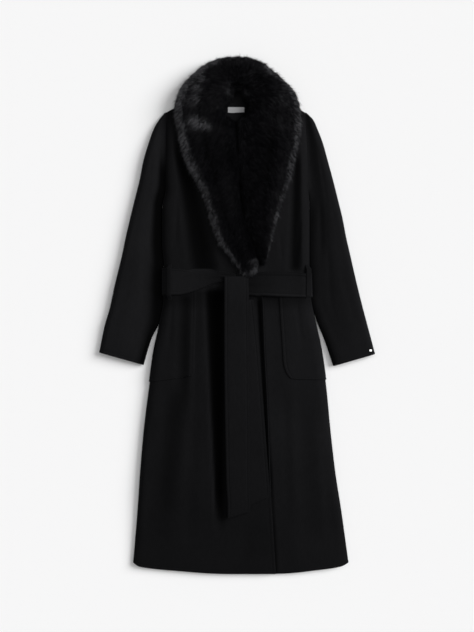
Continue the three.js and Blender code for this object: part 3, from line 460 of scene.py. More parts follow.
def sleeve_point(side, table, under, u, y):
    """A place on a sleeve: u runs from the outer fold to the inner one."""
    outer_x = follow(table, "y", y, "outer")
    outer_y = y + follow(table, "y", y, "rise")
    across_x, across_y = sleeve_inner_x(side, table, y) - outer_x, y - outer_y
    width = np.hypot(across_x, across_y)
    outer_round = np.minimum(SLEEVE_OUTER_ROUND, LEAST_ROUND * width)
    inner_round = np.minimum(SLEEVE_INNER_ROUND, LEAST_ROUND * width)
    closed = side_closure(y)
    out_angle = np.clip(u / TURN_SHARE, 0, 1) * (math.pi / 2)
    in_start = lerp(SLEEVE_START, 0, closed)
    in_angle = lerp(in_start, math.pi / 2, np.clip((1 - u) / TURN_SHARE, 0, 1))
    in_reach = inner_round * np.cos(in_start)
    middle = lerp(outer_round, width - in_reach, (u - TURN_SHARE) / (1 - 2 * TURN_SHARE))
    along = np.where(u <= TURN_SHARE, outer_round * (1 - np.cos(out_angle)), middle)
    inner_end = width - inner_round * (np.cos(in_start) - np.cos(in_angle))
    along = np.where(u >= 1 - TURN_SHARE, inner_end, along)
    share = along / width
    x = outer_x + across_x * share
    place_y = outer_y + across_y * share
    out_turn = np.sin(out_angle)
    in_turn = (np.sin(in_angle) - np.sin(in_start)) / (1 - np.sin(in_start))
    if under:
        seam = SLEEVE_SEAM_HEIGHT - SEAM
        z = seam * (1 - out_turn) + closed * seam * (1 - in_turn)
        return np.stack([x, place_y, z], axis=-1)
    seam = SLEEVE_SEAM_HEIGHT + SEAM
    top = sleeve_top(table, share, x, y, place_y)
    open_z = lerp(SHOULDER_HEIGHT, ARMHOLE_HEIGHT, armhole_opening(y))
    inner_end_z = lerp(open_z, seam, closed)
    z = np.where(u < 0.5, lerp(seam, top, out_turn), lerp(inner_end_z, top, in_turn))
    return np.stack([x, place_y, z], axis=-1)


def spaced(count, edges=(), margin=0.03):
    """Shares from 0 to 1, packed closer near the named ends."""
    shares = np.linspace(0, 1, count)
    near = np.array([0.08, 0.2, 0.35, 0.5, 0.65, 0.8]) * margin
    extra = [near] if 0 in edges else []
    if 1 in edges:
        extra.append(1 - near)
    return np.unique(np.concatenate([shares, *extra]))


def grid_normals(points, upward):
    du = np.gradient(points, axis=1)
    dv = np.gradient(points, axis=0)
    normal = np.cross(du, dv)
    normal /= np.maximum(np.linalg.norm(normal, axis=-1, keepdims=True), 1e-9)
    middle = normal[normal.shape[0] // 2, normal.shape[1] // 2, 2]
    if middle * upward < 0:
        normal = -normal
    return normal


def add_object(name, data):
    item = bpy.data.objects.new(name, data)
    bpy.context.scene.collection.objects.link(item)
    return item


def make_object(name, vertices, faces):
    mesh = bpy.data.meshes.new(name)
    mesh.from_pydata(vertices.tolist(), [], faces)
    mesh.update()
    mesh.shade_smooth()
    return add_object(name, mesh)


def turn_outward(mesh):
    work = bmesh.new()
    work.from_mesh(mesh)
    bmesh.ops.recalc_face_normals(work, faces=work.faces)
    work.to_mesh(mesh)
    work.free()


def keep_values(piece, name, values, rest):
    """Stores a number for each point of the outer grid, and a fixed one for the other points."""
    stored = np.full(len(piece.data.vertices), float(rest))
    if values is not None:
        stored[:values.size] = values.ravel()
    attribute = piece.data.attributes.new(name, "FLOAT", "POINT")
    attribute.data.foreach_set("value", stored.astype(np.float32))


def turned_out(vertices, faces):
    """The faces in the order that makes them look outward from a closed mesh."""
    volume = 0.0
    for corners in ([0, 1, 2], [0, 2, 3]):
        a, b, c = vertices[faces[:, corners]].transpose(1, 0, 2)
        volume += np.sum(np.einsum("ij,ij->i", a, np.cross(b, c)))
    return faces[:, ::-1] if volume < 0 else faces


def cloth_sheet(name, points, thickness, upward=1, from_edge=None, nap=None):
    """A closed cloth wall under an outer grid, with rounded edges.

    It keeps two numbers for the material: the distance from a stitched edge and the painted light and
    shade that scale the wool's colour.
    """
    rows, columns = points.shape[:2]
    normal = grid_normals(points, upward)
    upper = points.reshape(-1, 3)
    lower = (points - normal * thickness).reshape(-1, 3)
    count = rows * columns
    at = np.arange(count).reshape(rows, columns)
    a, b, c, d = at[:-1, :-1], at[:-1, 1:], at[1:, 1:], at[1:, :-1]
    top = np.stack([a, b, c, d], axis=-1).reshape(-1, 4)
    bottom = top[:, ::-1] + count
    rim = np.concatenate([at[0, :-1], at[:-1, -1], at[-1, :0:-1], at[:0:-1, 0]])
    inside = np.concatenate([at[1, :-1], at[:-1, -2], at[-2, :0:-1], at[:0:-1, 1]])
    out = upper[rim] - upper[inside]
    rim_normal = normal.reshape(-1, 3)[rim]
    out -= rim_normal * np.sum(out * rim_normal, axis=1, keepdims=True)
    out /= np.maximum(np.linalg.norm(out, axis=1, keepdims=True), 1e-9)
    rings = [rim]
    vertices = [upper, lower]
    base = 2 * count
    for step in range(1, RIM_STEPS + 1):
        angle = math.pi * step / (RIM_STEPS + 1)
        bulge = 0.22 * thickness * math.sin(angle)
        depth = thickness * (0.5 - 0.5 * math.cos(angle))
        vertices.append(upper[rim] - rim_normal * depth + out * bulge)
        rings.append(base + np.arange(len(rim)))
        base += len(rim)
    rings.append(rim + count)
    sides = []
    for first, second in zip(rings[:-1], rings[1:]):
        sides.append(np.stack([first, second, np.roll(second, -1), np.roll(first, -1)], axis=-1))
    vertices = np.concatenate(vertices) * MM
    faces = turned_out(vertices, np.concatenate([top, bottom, *sides]))
    piece = make_object(name, vertices, faces.tolist())
    keep_values(piece, "from_edge", from_edge, FAR_FROM_EDGE)
    keep_values(piece, "nap", nap, 1)
    return piece


def path_length(points, axis):
    steps = np.linalg.norm(np.diff(points, axis=axis), axis=-1)
    total = np.cumsum(steps, axis=axis)
    pad = [(0, 0), (0, 0)]
    pad[axis] = (1, 0)
    return np.pad(total, pad)


def edge_distance(points, sides):
    """How far each point is from the named sides of its grid, in mm along the cloth."""
    across = path_length(points, 1)
    down = path_length(points, 0)
    found = np.full(points.shape[:2], FAR_FROM_EDGE)
    if "start" in sides:
        found = np.minimum(found, across)
    if "end" in sides:
        found = np.minimum(found, across[:, -1:] - across)
    if "low" in sides:
        found = np.minimum(found, down)
    if "high" in sides:
        found = np.minimum(found, down[-1:, :] - down)
    return found


def puffed_edge(points, distance, upward=1):
    """Sinks the cloth a little along the line of edge stitching, and lifts the edge outside it."""
    groove = STITCH_GROOVE * np.exp(-(((distance - STITCH_INSET) / GROOVE_HALF) ** 2))
    swell = STITCH_SWELL * np.exp(-(((distance - 0.5 * STITCH_INSET) / SWELL_HALF) ** 2))
    return points + grid_normals(points, upward) * (swell - groove)[..., None]


# Materials


def new_material(name):
    material = bpy.data.materials.new(name)
    material.use_nodes = True
    tree = material.node_tree
    return material, tree, tree.nodes["Principled BSDF"]


def link(tree, source, output, target, socket):
    tree.links.new(source.outputs[output], target.inputs[socket])


def set_inputs(node, values):
    for name, value in values.items():
        node.inputs[name].default_value = value


def noise(tree, scale, detail, roughness=0.55, stretch=None):
    coordinates = tree.nodes.new("ShaderNodeTexCoord")
    texture = tree.nodes.new("ShaderNodeTexNoise")
    set_inputs(texture, {"Scale": scale, "Detail": detail, "Roughness": roughness})
    if stretch is None:
        link(tree, coordinates, "Object", texture, "Vector")
        return texture
    mapping = tree.nodes.new("ShaderNodeMapping")
    set_inputs(mapping, {"Scale": stretch})
    link(tree, coordinates, "Object", mapping, "Vector")
    link(tree, mapping, "Vector", texture, "Vector")
    return texture


def maths(tree, operation, first, second=None, third=None):
    node = tree.nodes.new("ShaderNodeMath")
    node.operation = operation
    for index, value in enumerate((first, second, third)):
        if value is None:
            continue
        if isinstance(value, (int, float)):
            node.inputs[index].default_value = value
        else:
            tree.links.new(value, node.inputs[index])
    return node.outputs[0]


def attribute(tree, name):
    node = tree.nodes.new("ShaderNodeAttribute")
    node.attribute_name = name
    return node.outputs["Fac"]


def colour_ramp(tree, value, low, high, low_at=0.0, high_at=1.0):
    """A colour that follows a value from one colour to another."""
    ramp = tree.nodes.new("ShaderNodeValToRGB")
    for element, place, colour in zip(ramp.color_ramp.elements, (low_at, high_at), (low, high)):
        element.position = place
        element.color = (*colour, 1)
    tree.links.new(value, ramp.inputs["Fac"])
    return ramp


def add_bump(tree, shader, height, distance, strength=1.0):
    bump = tree.nodes.new("ShaderNodeBump")
    set_inputs(bump, {"Strength": strength, "Distance": distance})
    tree.links.new(height, bump.inputs["Height"])
    link(tree, bump, "Normal", shader, "Normal")


def wool_material():
    """Matt black wool, mottled a little, whose colour is scaled by painted light and shade."""
    material, tree, shader = new_material("black_wool")
    mottle = noise(tree, 9, 4)
    streaks = noise(tree, 60, 5, stretch=(4, 1, 4))
    half_mottle = maths(tree, "MULTIPLY", mottle.outputs["Fac"], 0.5)
    mixed = maths(tree, "MULTIPLY_ADD", streaks.outputs["Fac"], 0.5, half_mottle)
    ramp = colour_ramp(tree, mixed, (0.0048, 0.0048, 0.0052), (0.0070, 0.0070, 0.0076), 0.3, 0.75)
    # The painted light and shade of each piece scales the base colour.
    shaded = tree.nodes.new("ShaderNodeVectorMath")
    shaded.operation = "SCALE"
    link(tree, ramp, "Color", shaded, "Vector")
    tree.links.new(attribute(tree, "nap"), shaded.inputs["Scale"])
    link(tree, shaded, "Vector", shader, "Base Color")
    set_inputs(shader, {"Roughness": 0.88, "Specular IOR Level": 0.02, "Sheen Weight": 0.035,
                        "Sheen Roughness": 0.45, "Sheen Tint": (0.8, 0.82, 0.9, 1)})
    nap = noise(tree, 900, 3, 0.7, stretch=(2.2, 0.8, 2.2))
    lumps = noise(tree, 120, 3)
    offset = maths(tree, "SUBTRACT", attribute(tree, "from_edge"), float(STITCH_INSET))
    stitch_line = maths(tree, "LESS_THAN", maths(tree, "ABSOLUTE", offset), 0.55)
    height = maths(tree, "MULTIPLY", nap.outputs["Fac"], 0.35)
    height = maths(tree, "MULTIPLY_ADD", lumps.outputs["Fac"], 0.5, height)
    height = maths(tree, "MULTIPLY_ADD", stitch_line, -0.8, height)
    add_bump(tree, shader, height, 0.0006, 0.5)
    return material


def fur_material():
    """Black hair whose colour carries painted highlights, dark inside and lighter at the rim."""
    material, tree, shader = new_material("black_fur")
    tint = noise(tree, 220, 2)
    shine = maths(tree, "MULTIPLY_ADD", tint.outputs["Fac"], 0.05, attribute(tree, "shine"))
    ramp = colour_ramp(tree, shine, (0.0013, 0.0013, 0.0018), (0.0830, 0.0830, 0.0890), 0.03)
    link(tree, ramp, "Color", shader, "Base Color")
    set_inputs(shader, {"Specular IOR Level": 0.02, "Roughness": 0.42})
    return material


def grained_material(name, grain, low, high, values, bump=None):
    """A plain material whose colour, and relief if it has one, follow a fine grain."""
    material, tree, shader = new_material(name)
    pattern = noise(tree, **grain).outputs["Fac"]
    link(tree, colour_ramp(tree, pattern, low, high), "Color", shader, "Base Color")
    set_inputs(shader, values)
    if bump:
        add_bump(tree, shader, pattern, bump)
    return material


WOOL = wool_material()
FUR = fur_material()
# The backing's colour is set darker than the hair's as painted shade, so bare backing looks as dark as
# shaded fur.
FUR_BASE = grained_material(
    "fur_backing", dict(scale=400, detail=4, stretch=(1, 0.3, 1)), (0.0002, 0.0002, 0.0002),
    (0.0007, 0.0007, 0.0008), {"Specular IOR Level": 0.05, "Roughness": 0.9}, bump=0.002)
LABEL_SATIN = grained_material(
    "label_satin", dict(scale=1500, detail=2, stretch=(1, 4, 1)), (0.22, 0.22, 0.225),
    (0.36, 0.36, 0.37), {"Roughness": 0.55}, bump=0.0002)
TAG_METAL = grained_material(
    "tag_metal", dict(scale=3000, detail=2, stretch=(0.1, 1, 1)), (0.40, 0.40, 0.39),
    (0.62, 0.62, 0.60), {"Metallic": 1.0, "Roughness": 0.35})
PALE_FLOOR = grained_material(
    "pale_floor", dict(scale=40, detail=2), (0.8955, 0.8955, 0.89749), (0.90, 0.90, 0.902),
    {"Specular IOR Level": 0.1, "Roughness": 0.9})


def dress(piece, node, material):
    """Hands a finished piece to the frame: it rides on the coat and stands for its node."""
    piece.data.materials.append(material)
    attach(piece, "root")
    if node:
        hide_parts(node)


# Cloth panels


def wool_piece(node, points, thickness, name=None, **surface):
    """A piece of the coat's wool that stands for a node of the frame."""
    piece = cloth_sheet(name or node + "_cloth", points, thickness, **surface)
    dress(piece, node, WOOL)
    return piece


def body_rows():
    return lerp(HEM_CORNER_Y, SHOULDER_TIP_Y, spaced(BODY_ROWS, edges=(0,), margin=0.016))


def make_front(name, side):
    u = spaced(FRONT_COLUMNS, edges=(1,), margin=0.075)
    grid_u, grid_y = np.meshgrid(u, body_rows())
    points = front_point(side, grid_u, grid_y)
    distance = edge_distance(points, ("end", "low"))
    points = puffed_edge(points, distance)
    x, y = points[..., 0], points[..., 1]
    # Painted shade along the side of the front beside the sleeve.
    at_side = band_share(y, BESIDE_SLEEVE) * (1 - smoothstep(grid_u, 0.03, 0.12))
    nap = laid_nap(x, y) * (1 - BESIDE_SLEEVE["shade"] * at_side)
    # Each side is painted lighter or darker, and the cloth is darker towards the hem.
    nap = nap * FRONT_PAINTED_LIGHT[side] * lerp(1, 0.84, smoothstep(-y, 300, 560))
    if side > 0:
        # Painted shadow of the upper front's edge on the under front.
        past_edge = (x - front_edge(-1, y) - BELOW_EDGE["x"]) / BELOW_EDGE["half"]
        low = smoothstep(-y, BELOW_EDGE["from_y"], BELOW_EDGE["to_y"])
        nap = nap * (1 - BELOW_EDGE["shade"] * np.exp(-(past_edge ** 2)) * low)
    piece = wool_piece(name, points, CLOTH, from_edge=distance, nap=nap)


def make_back():
    u = spaced(BACK_COLUMNS)
    grid_u, grid_y = np.meshgrid(u, body_rows())
    points = back_point(grid_u, grid_y)
    distance = edge_distance(points, ("low",))
    piece = wool_piece("back", points, CLOTH, name="back_panel", upward=-1, from_edge=distance)


def make_sleeve(name, side, table, under):
    rows = lerp(table["y"][-1], SHOULDER_TIP_Y, spaced(SLEEVE_ROWS, edges=(0,), margin=0.03))
    u = spaced(SLEEVE_COLUMNS)
    grid_u, grid_y = np.meshgrid(u, rows)
    points = sleeve_point(side, table, under, grid_u, grid_y)
    distance = edge_distance(points, ("low",))
    if not under:
        points = puffed_edge(points, distance)
    # Painted shadow of the body on the sleeve's inner side, from a little above the underarm down.
    start = lerp(0.55, 0.66, smoothstep(-grid_y, -60, 90)) if side < 0 else 0.64
    below = smoothstep(UNDERARM_Y + SLEEVE_SHADE_ABOVE_ARM[side] - grid_y, 0, 90)
    in_body_shadow = smoothstep(grid_u, start, start + 0.16) * below
    nap = SLEEVE_PAINTED_LIGHT[side] * (1 - SLEEVE_SHADE[side] * in_body_shadow)
    upward = -1 if under else 1
    piece = wool_piece(name, points, CLOTH, upward=upward, from_edge=distance, nap=nap)


def lifted(points, distance):
    return points + grid_normals(points, 1) * distance


def pocket_inner_x(pocket, y):
    straight = lerp(pocket["inner_top"], pocket["inner_bottom"],
                    np.clip((pocket["top"] - y) / (pocket["top"] - pocket["corner_y"]), 0, 1))
    drop = np.clip((pocket["corner_y"] - y) / (pocket["corner_y"] - pocket["bottom_inner"]), 0, 1)
    curve = 1 - np.sqrt(np.maximum(1 - drop ** 2, 0))
    return straight + (pocket["corner_x"] - pocket["inner_bottom"]) * curve


def make_pocket(name, side, pocket):
    share = np.sin(np.linspace(0, math.pi / 2, 44))
    s = spaced(40, edges=(1,), margin=0.1)
    grid_s, grid_t = np.meshgrid(s, share)
    level = lerp(pocket["top"], pocket["bottom_inner"], grid_t)
    inner = pocket_inner_x(pocket, level)
    u = grid_s * front_u(side, inner, level)
    slope = (pocket["bottom_outer"] - pocket["bottom_inner"]) / (pocket["outer"] - pocket["corner_x"])
    x = front_point(side, u, level)[..., 0]
    y = level + grid_t ** 2 * slope * side * np.maximum(side * (x - pocket["corner_x"]), 0)
    points = front_point(side, u, y)
    points = lifted(points, SEAM + POCKET_THICKNESS)
    distance = edge_distance(points, ("end", "high"))
    points = puffed_edge(points, distance)
    # Painted shade in the folds and under the belt, and each side painted lighter or darker.
    nap = laid_nap(points[..., 0], points[..., 1]) * POCKET_PAINTED_LIGHT[side]
    piece = wool_piece(name, points, POCKET_THICKNESS, from_edge=distance, nap=nap)


def make_belt(name, side, table):
    middle_y = np.array(float(BELT_CHANNEL["y"]))
    knot_x = np.array(table["x"][-1] if side < 0 else table["x"][0], float)
    u_end = front_u(side, knot_x, middle_y)
    s = np.linspace(0, 1, 70)
    t = spaced(22, edges=(0, 1), margin=0.2)
    grid_s, grid_t = np.meshgrid(s, t)
    u = grid_s * u_end
    x = front_point(side, u, np.full_like(u, middle_y))[..., 0]
    y = lerp(follow(table, "x", x, "bottom"), follow(table, "x", x, "top"), grid_t)
    points = front_point(side, u, y, drop=False)
    to_knot = smoothstep(grid_s, 0.45, 1)
    gather = 1.1 * np.sin(grid_t * 9.5 + 1.5 * grid_s) + 0.6 * np.sin(grid_t * 19 - 3 * grid_s)
    points = lifted(points, BELT_TOP)
    points[..., 2] += to_knot * gather
    distance = edge_distance(points, ("low", "high"))
    points = puffed_edge(points, distance)
    # Painted light along the belt's middle, painted shade towards the knot and along its edges; the left
    # belt is also darker towards its top and gets a painted shade line and a painted highlight line.
    nap = lerp(0.72, 1.25, smoothstep(np.abs(points[..., 0]), 25, 125)) - 0.15 * grid_t * (side > 0)
    nap = nap * lerp(0.55, 1, smoothstep(distance, 0, 3))
    if side > 0:
        for line in PAINTED_BELT_LINES:
            away = (BELT_WIDTH * (1 - grid_t) - line["from_top"]) / line["half"]
            nap = nap * (1 + line["gain"] * np.exp(-(away ** 2)))
    piece = wool_piece(name, points, BELT_THICKNESS, from_edge=distance, nap=nap)


def make_belt_back():
    u = np.linspace(0, 1, BACK_COLUMNS)
    y = np.linspace(BELT_BACK_BOTTOM, BELT_BACK_TOP, 14)
    grid_u, grid_y = np.meshgrid(u, y)
    points = back_point(grid_u, grid_y)
    outer = points + grid_normals(points, -1) * (SEAM + BELT_THICKNESS)
    distance = edge_distance(outer, ("low", "high"))
    piece = cloth_sheet("belt_back_cloth", outer, BELT_THICKNESS, upward=-1, from_edge=distance)
    dress(piece, None, WOOL)
    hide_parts("belt_back", "belt_side_right", "belt_side_left")


def make_belt_loop(name, side, x):
    t = spaced(40)
    s = np.linspace(-0.5, 0.5, 9)
    grid_s, grid_t = np.meshgrid(s, t)
    y = lerp(BELT_LOOP["bottom"], BELT_LOOP["top"], grid_t)
    place_x = x + grid_s * BELT_LOOP["width"]
    flat_x = body_side(side, y) - side * SIDE_ROUND
    past = np.clip(side * (place_x - flat_x) / SIDE_ROUND, 0, 1)
    u = np.where(past > 0, TURN_SHARE * (1 - np.arcsin(past) / (math.pi / 2)), front_u(side, place_x, y))
    points = front_point(side, u, y, drop=False)
    over_belt = smoothstep(y, 42, 53) * (1 - smoothstep(y, 119, 129))
    points = lifted(points, (SEAM + BELT_LOOP["thickness"] + BELT_TOP * over_belt)[..., None])
    # The left loop is darker towards its top.
    nap = lerp(1.0, 0.8, smoothstep(y, 60, 110)) if side > 0 else np.ones_like(y)
    piece = wool_piece(name, points, BELT_LOOP["thickness"], nap=nap)


def make_tail(name, table, end, sag):
    t = spaced(96, edges=(1,), margin=0.03)
    s = spaced(26, edges=(0, 1), margin=0.25)
    grid_s, grid_t = np.meshgrid(s, t)
    y = lerp(table["y"][0], lerp(*end, grid_s), grid_t)
    x = lerp(follow(table, "y", y, "left"), follow(table, "y", y, "right"), grid_s)
    z = follow(table, "y", y, "z") - smoothstep(grid_t, 0.96, 1.0)
    edge_drop = 0.9 * np.abs(2 * grid_s - 1) ** 5
    wave = sag * np.sin(grid_t * 7.3 + 0.8) * (grid_s - 0.5) + 0.35 * np.sin(grid_t * 23 + grid_s * 4)
    points = np.stack([x, y, z - edge_drop + wave * smoothstep(grid_t, 0.1, 0.3) * 0.5], axis=-1)
    distance = edge_distance(points, ("start", "end", "high"))
    points = puffed_edge(points, distance)
    # Lighter near the knot and darker towards its end, with painted shade along its edges.
    nap = lerp(1.15, 0.92, smoothstep(grid_t, 0.1, 0.9)) * lerp(0.65, 1, smoothstep(distance, 0, 3))
    piece = wool_piece(name, points, TAIL_CLOTH, from_edge=distance, nap=nap)


# Fur collar


def support_height(x, y):
    """The level of what carries the collar at a place: the fronts, the back or the surface."""
    on_body = (y < shoulder_y(x)) & (x > body_side(-1, y)) & (x < body_side(1, y))
    return np.where(on_body, front_height(x, y, fine=False) + 1, 0.6)


def rounded_square(value):
    return np.sign(value) * np.abs(value) ** SECTION_POWER


def collar_ring(table, s, angle, inset):
    """A point of the collar: s runs from the centre back to the tip, angle goes round a section."""
    last = len(table["top"]) - 1
    rows = dict(table, row=list(range(last + 1)))
    column = {key: follow(rows, "row", s * last, key) for key in table}
    middle_x = (column["outer_x"] + column["inner_x"]) / 2
    middle_y = (column["outer_y"] + column["inner_y"]) / 2
    half_x = (column["inner_x"] - column["outer_x"]) / 2
    half_y = (column["inner_y"] - column["outer_y"]) / 2
    half = np.hypot(half_x, half_y)
    keep = np.maximum(half - inset, 1.5) / half
    half_z = np.maximum((column["top"] - column["base"]) / 2 - inset, 1.5)
    centre_z = (column["top"] + column["base"]) / 2
    cosine = rounded_square(np.cos(angle))
    x = middle_x + half_x * keep * cosine
    y = middle_y + half_y * keep * cosine
    z = centre_z + half_z * rounded_square(np.sin(angle))
    return np.stack([x, y, z], axis=-1)


def collar_shell(name, node, side, table, inset):
    """The backing of a collar half, a closed tube that rests on the coat and the surface."""
    s = np.linspace(0.0, 1.0, 110)
    angle = np.linspace(0, 2 * math.pi, 44, endpoint=False)
    grid_a, grid_s = np.meshgrid(angle, s)
    points = collar_ring(table, grid_s, grid_a, inset)
    points[..., 0] += side * SEAM
    lumps = 1.6 * np.sin(points[..., 0] / 9 + 2 * grid_a) * np.sin(points[..., 1] / 11)
    points[..., 2] += lumps * (np.sin(grid_a) > 0)
    floor = support_height(points[..., 0], points[..., 1])
    points[..., 2] = np.maximum(points[..., 2], floor + SEAM)
    rows, columns = grid_s.shape
    at = np.arange(rows * columns).reshape(rows, columns)
    after = np.roll(at, -1, axis=1)
    faces = np.stack([at[:-1], after[:-1], after[1:], at[1:]], axis=-1).reshape(-1, 4)
    vertices = points.reshape(-1, 3)
    ends = [vertices[at[0]].mean(axis=0), vertices[at[-1]].mean(axis=0)]
    first, last = rows * columns, rows * columns + 1
    caps = [[first, after[0, k], at[0, k]] for k in range(columns)]
    caps += [[last, at[-1, k], after[-1, k]] for k in range(columns)]
    vertices = np.concatenate([vertices, ends]) * MM
    piece = make_object(name, vertices, faces.tolist() + caps)
    turn_outward(piece.data)
    dress(piece, node, FUR_BASE)


def unit(vectors):
    return vectors / np.maximum(np.linalg.norm(vectors, axis=1, keepdims=True), 1e-9)


def strand_shine(side, root, s, across, rng):
    """The painted highlight in each hair's colour: most at the outer rim and at the listed gleams."""
    if side < 0:
        width = lerp(0.20, 0.27, smoothstep(s, 0.5, 0.7))
        along = (0.25 + 0.75 * smoothstep(s, 0.06, 0.20)) * (1 - 0.4 * smoothstep(s, 0.86, 0.97))
    else:
        width = 0.12
        along = 0.20 + 0.80 * smoothstep(s, 0.16, 0.30)
    rim = RIM_PAINTED_HIGHLIGHT[side] * along * smoothstep(across, 1 - width, 1 - 0.3 * width)
    uneven = 0.78 + 0.22 * np.sin(root[:, 1] / 13 + 2 * np.sin(root[:, 1] / 37)) * np.sin(root[:, 0] / 11)
    shine = FUR_PAINTED_HIGHLIGHT[side] + 0.60 * rim * uneven + 0.03 * smoothstep(across, 0.45, 0.9)
    shine = shine + 0.020 * smoothstep(root[:, 1], 430, 520) - 0.016 * smoothstep(-root[:, 1], -240, -160)
    for x, y, reach, strength in PAINTED_GLEAMS:
        distance = np.hypot(root[:, 0] - x, root[:, 1] - y)
        shine = shine + strength * np.exp(-((distance / reach) ** 2))
    lock = np.floor(root[:, :2] / LOCK).astype(np.int64)
    lock_shine = 0.5 + 0.5 * np.sin(((lock[:, 0] * 7919) ^ (lock[:, 1] * 104729)) % 10007 * 12.9898)
    return np.clip(shine * (0.3 + 1.4 * lock_shine ** 2) * rng.uniform(0.3, 1.7, len(s)), 0, 1)


def hair_flow(table, s, angle, root):
    """The ways out of the collar, along it and across it to the outer rim, at each root."""
    small = 1e-3
    along = unit(collar_ring(table, np.minimum(s + small, 1), angle, FUR_INSET)
                 - collar_ring(table, np.maximum(s - small, 0), angle, FUR_INSET))
    around = (collar_ring(table, s, angle + small, FUR_INSET)
              - collar_ring(table, s, angle - small, FUR_INSET))
    normal = unit(np.cross(along, around))
    outward = root - collar_ring(table, s, angle, CORE_INSET)
    normal *= np.sign(np.sum(normal * outward, axis=1, keepdims=True))
    flow_out = (collar_ring(table, s, np.full(len(s), math.pi), FUR_INSET)
                - collar_ring(table, s, np.zeros(len(s)), FUR_INSET))
    flow_out[:, 2] = 0
    return normal, along, unit(flow_out)


def hair_mesh(name, root, mid, tip, cross):
    """One joined mesh of tapered ribbons, each of three triangles."""
    vertices = np.stack([root - cross, root + cross, mid + cross * 0.75, mid - cross * 0.75, tip], axis=1)
    vertices = vertices.reshape(-1, 3) * MM
    base = np.arange(len(root))[:, None] * 5
    triangles = (base[:, :, None] + np.array([[0, 1, 2], [0, 2, 3], [3, 2, 4]])[None]).reshape(-1, 3)
    mesh = bpy.data.meshes.new(name)
    mesh.vertices.add(len(vertices))
    mesh.vertices.foreach_set("co", vertices.ravel())
    mesh.loops.add(triangles.size)
    mesh.loops.foreach_set("vertex_index", triangles.ravel().astype(np.int32))
    mesh.polygons.add(len(triangles))
    mesh.polygons.foreach_set("loop_start", np.arange(0, triangles.size, 3, dtype=np.int32))
    mesh.update(calc_edges=True)
    mesh.shade_smooth()
    return mesh


def fur_strands(name, side, table, span, rng):
    """The hairs over a stretch of the collar, combed outward and down it and drawn into clumps."""
    s = rng.uniform(*span, STRANDS)
    angle = rng.uniform(-0.28, math.pi + 0.28, STRANDS)
    across = 0.5 - 0.5 * rounded_square(np.cos(angle))
    root = collar_ring(table, s, angle, FUR_INSET)
    normal, along, flow_out = hair_flow(table, s, angle, root)

    swirl = np.sin(root[:, 0] / 27 + 1.7 * np.sin(root[:, 1] / 41)) + 0.6 * np.sin(root[:, 1] / 23)
    downward = smoothstep(s, 0.02, 0.30)[:, None]
    comb = 0.85 * downward * along + (0.75 + 0.22 * swirl)[:, None] * flow_out
    stray = rng.random(STRANDS) < STRAY_SHARE
    droop = smoothstep(across, 0.62, 0.98) * np.where(stray, 0.5, 1)
    lean_in = (1 - smoothstep(across, 0.0, 0.22)) * (1 - smoothstep(s, 0.22, 0.34))
    meet = (1 - smoothstep(across, 0.0, 0.18)) * smoothstep(s, 0.45, 0.60)
    comb -= (1.5 * lean_in + 0.9 * meet)[:, None] * flow_out
    comb[:, 2] -= 0.20 + 0.85 * droop

    clump = np.floor((root[:, :2] + rng.normal(0, 1.8, (STRANDS, 2))) / CLUMP).astype(np.int64)
    code = ((clump[:, 0] * 73856093) ^ (clump[:, 1] * 19349663)) % 100003
    hashed = np.stack([np.sin(code * k) for k in (12.9898, 78.233, 37.719, 51.37)], axis=1)
    comb = comb + 0.16 * hashed[:, :3] * np.array([1, 1, 0.6])
    pull = np.zeros_like(root)
    pull[:, :2] = ((clump + 0.5) * CLUMP + 1.5 * hashed[:, 1:3] - root[:, :2]) * 0.30

    length = FUR_LENGTH * rng.uniform(0.62, 1.0, STRANDS) * (1 + 0.10 * hashed[:, 3])
    length *= np.where(stray, 1.12, 1) * (1 - 0.35 * droop) * (1 - 0.25 * lean_in)
    length *= lerp(0.72, 1.0, smoothstep(s, 0.06, 0.22))
    jitter = rng.normal(0, 0.16, (STRANDS, 3))
    first = unit(normal * (0.75 - 0.35 * droop)[:, None] + 0.45 * comb + 0.5 * jitter)
    second = unit(normal * 0.10 + comb + jitter)
    mid = root + first * (0.42 * length)[:, None] + 0.35 * pull
    tip = mid + second * (0.58 * length)[:, None] + 0.65 * pull
    mid[:, 2] = np.maximum(mid[:, 2], 1.0)
    tip[:, 2] = np.maximum(tip[:, 2], 0.6)
    cross = unit(np.cross(tip - root, normal + rng.normal(0, 0.3, (STRANDS, 3))))
    cross *= STRAND_HALF_WIDTH * rng.uniform(0.7, 1.3, STRANDS)[:, None]

    mesh = hair_mesh(name, root, mid, tip, cross)
    # Each hair's colour carries its painted highlight.
    shine = strand_shine(side, root, s, across, rng)
    stored = mesh.attributes.new("shine", "FLOAT", "POINT")
    stored.data.foreach_set("value", np.repeat(shine, 5).astype(np.float32))
    dress(add_object(name, mesh), None, FUR)


def collar_fall(name, side):
    """The part of the collar that lies under the back's neck."""
    x = side * np.linspace(0.6, FALL["half_width"], 24)
    y = np.linspace(FALL["bottom"], FALL["top"], 26)
    grid_x, grid_y = np.meshgrid(x, y)
    z = neck_lift(grid_x, grid_y) - FALL["below_back"]
    points = np.stack([grid_x, grid_y, np.maximum(z, FALL["least"])], axis=-1)
    lower = points.copy()
    lower[..., 2] = FALL["floor"]
    piece = cloth_sheet(name, points, FALL["thickness"])
    count = grid_x.size
    coordinates = np.array([v.co for v in piece.data.vertices])
    coordinates[count:2 * count] = lower.reshape(-1, 3) * MM
    coordinates[2 * count:, 2] = np.maximum(coordinates[2 * count:, 2], FALL["floor"] * MM)
    piece.data.vertices.foreach_set("co", coordinates.ravel())
    piece.data.update()
    dress(piece, None, FUR_BASE)


# Trim


def dress_trim(name, material):
    """Gives a CAD solid that stays visible its material."""
    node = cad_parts[name]
    node.data.materials.clear()
    node.data.materials.append(material)


# Stage, light and camera


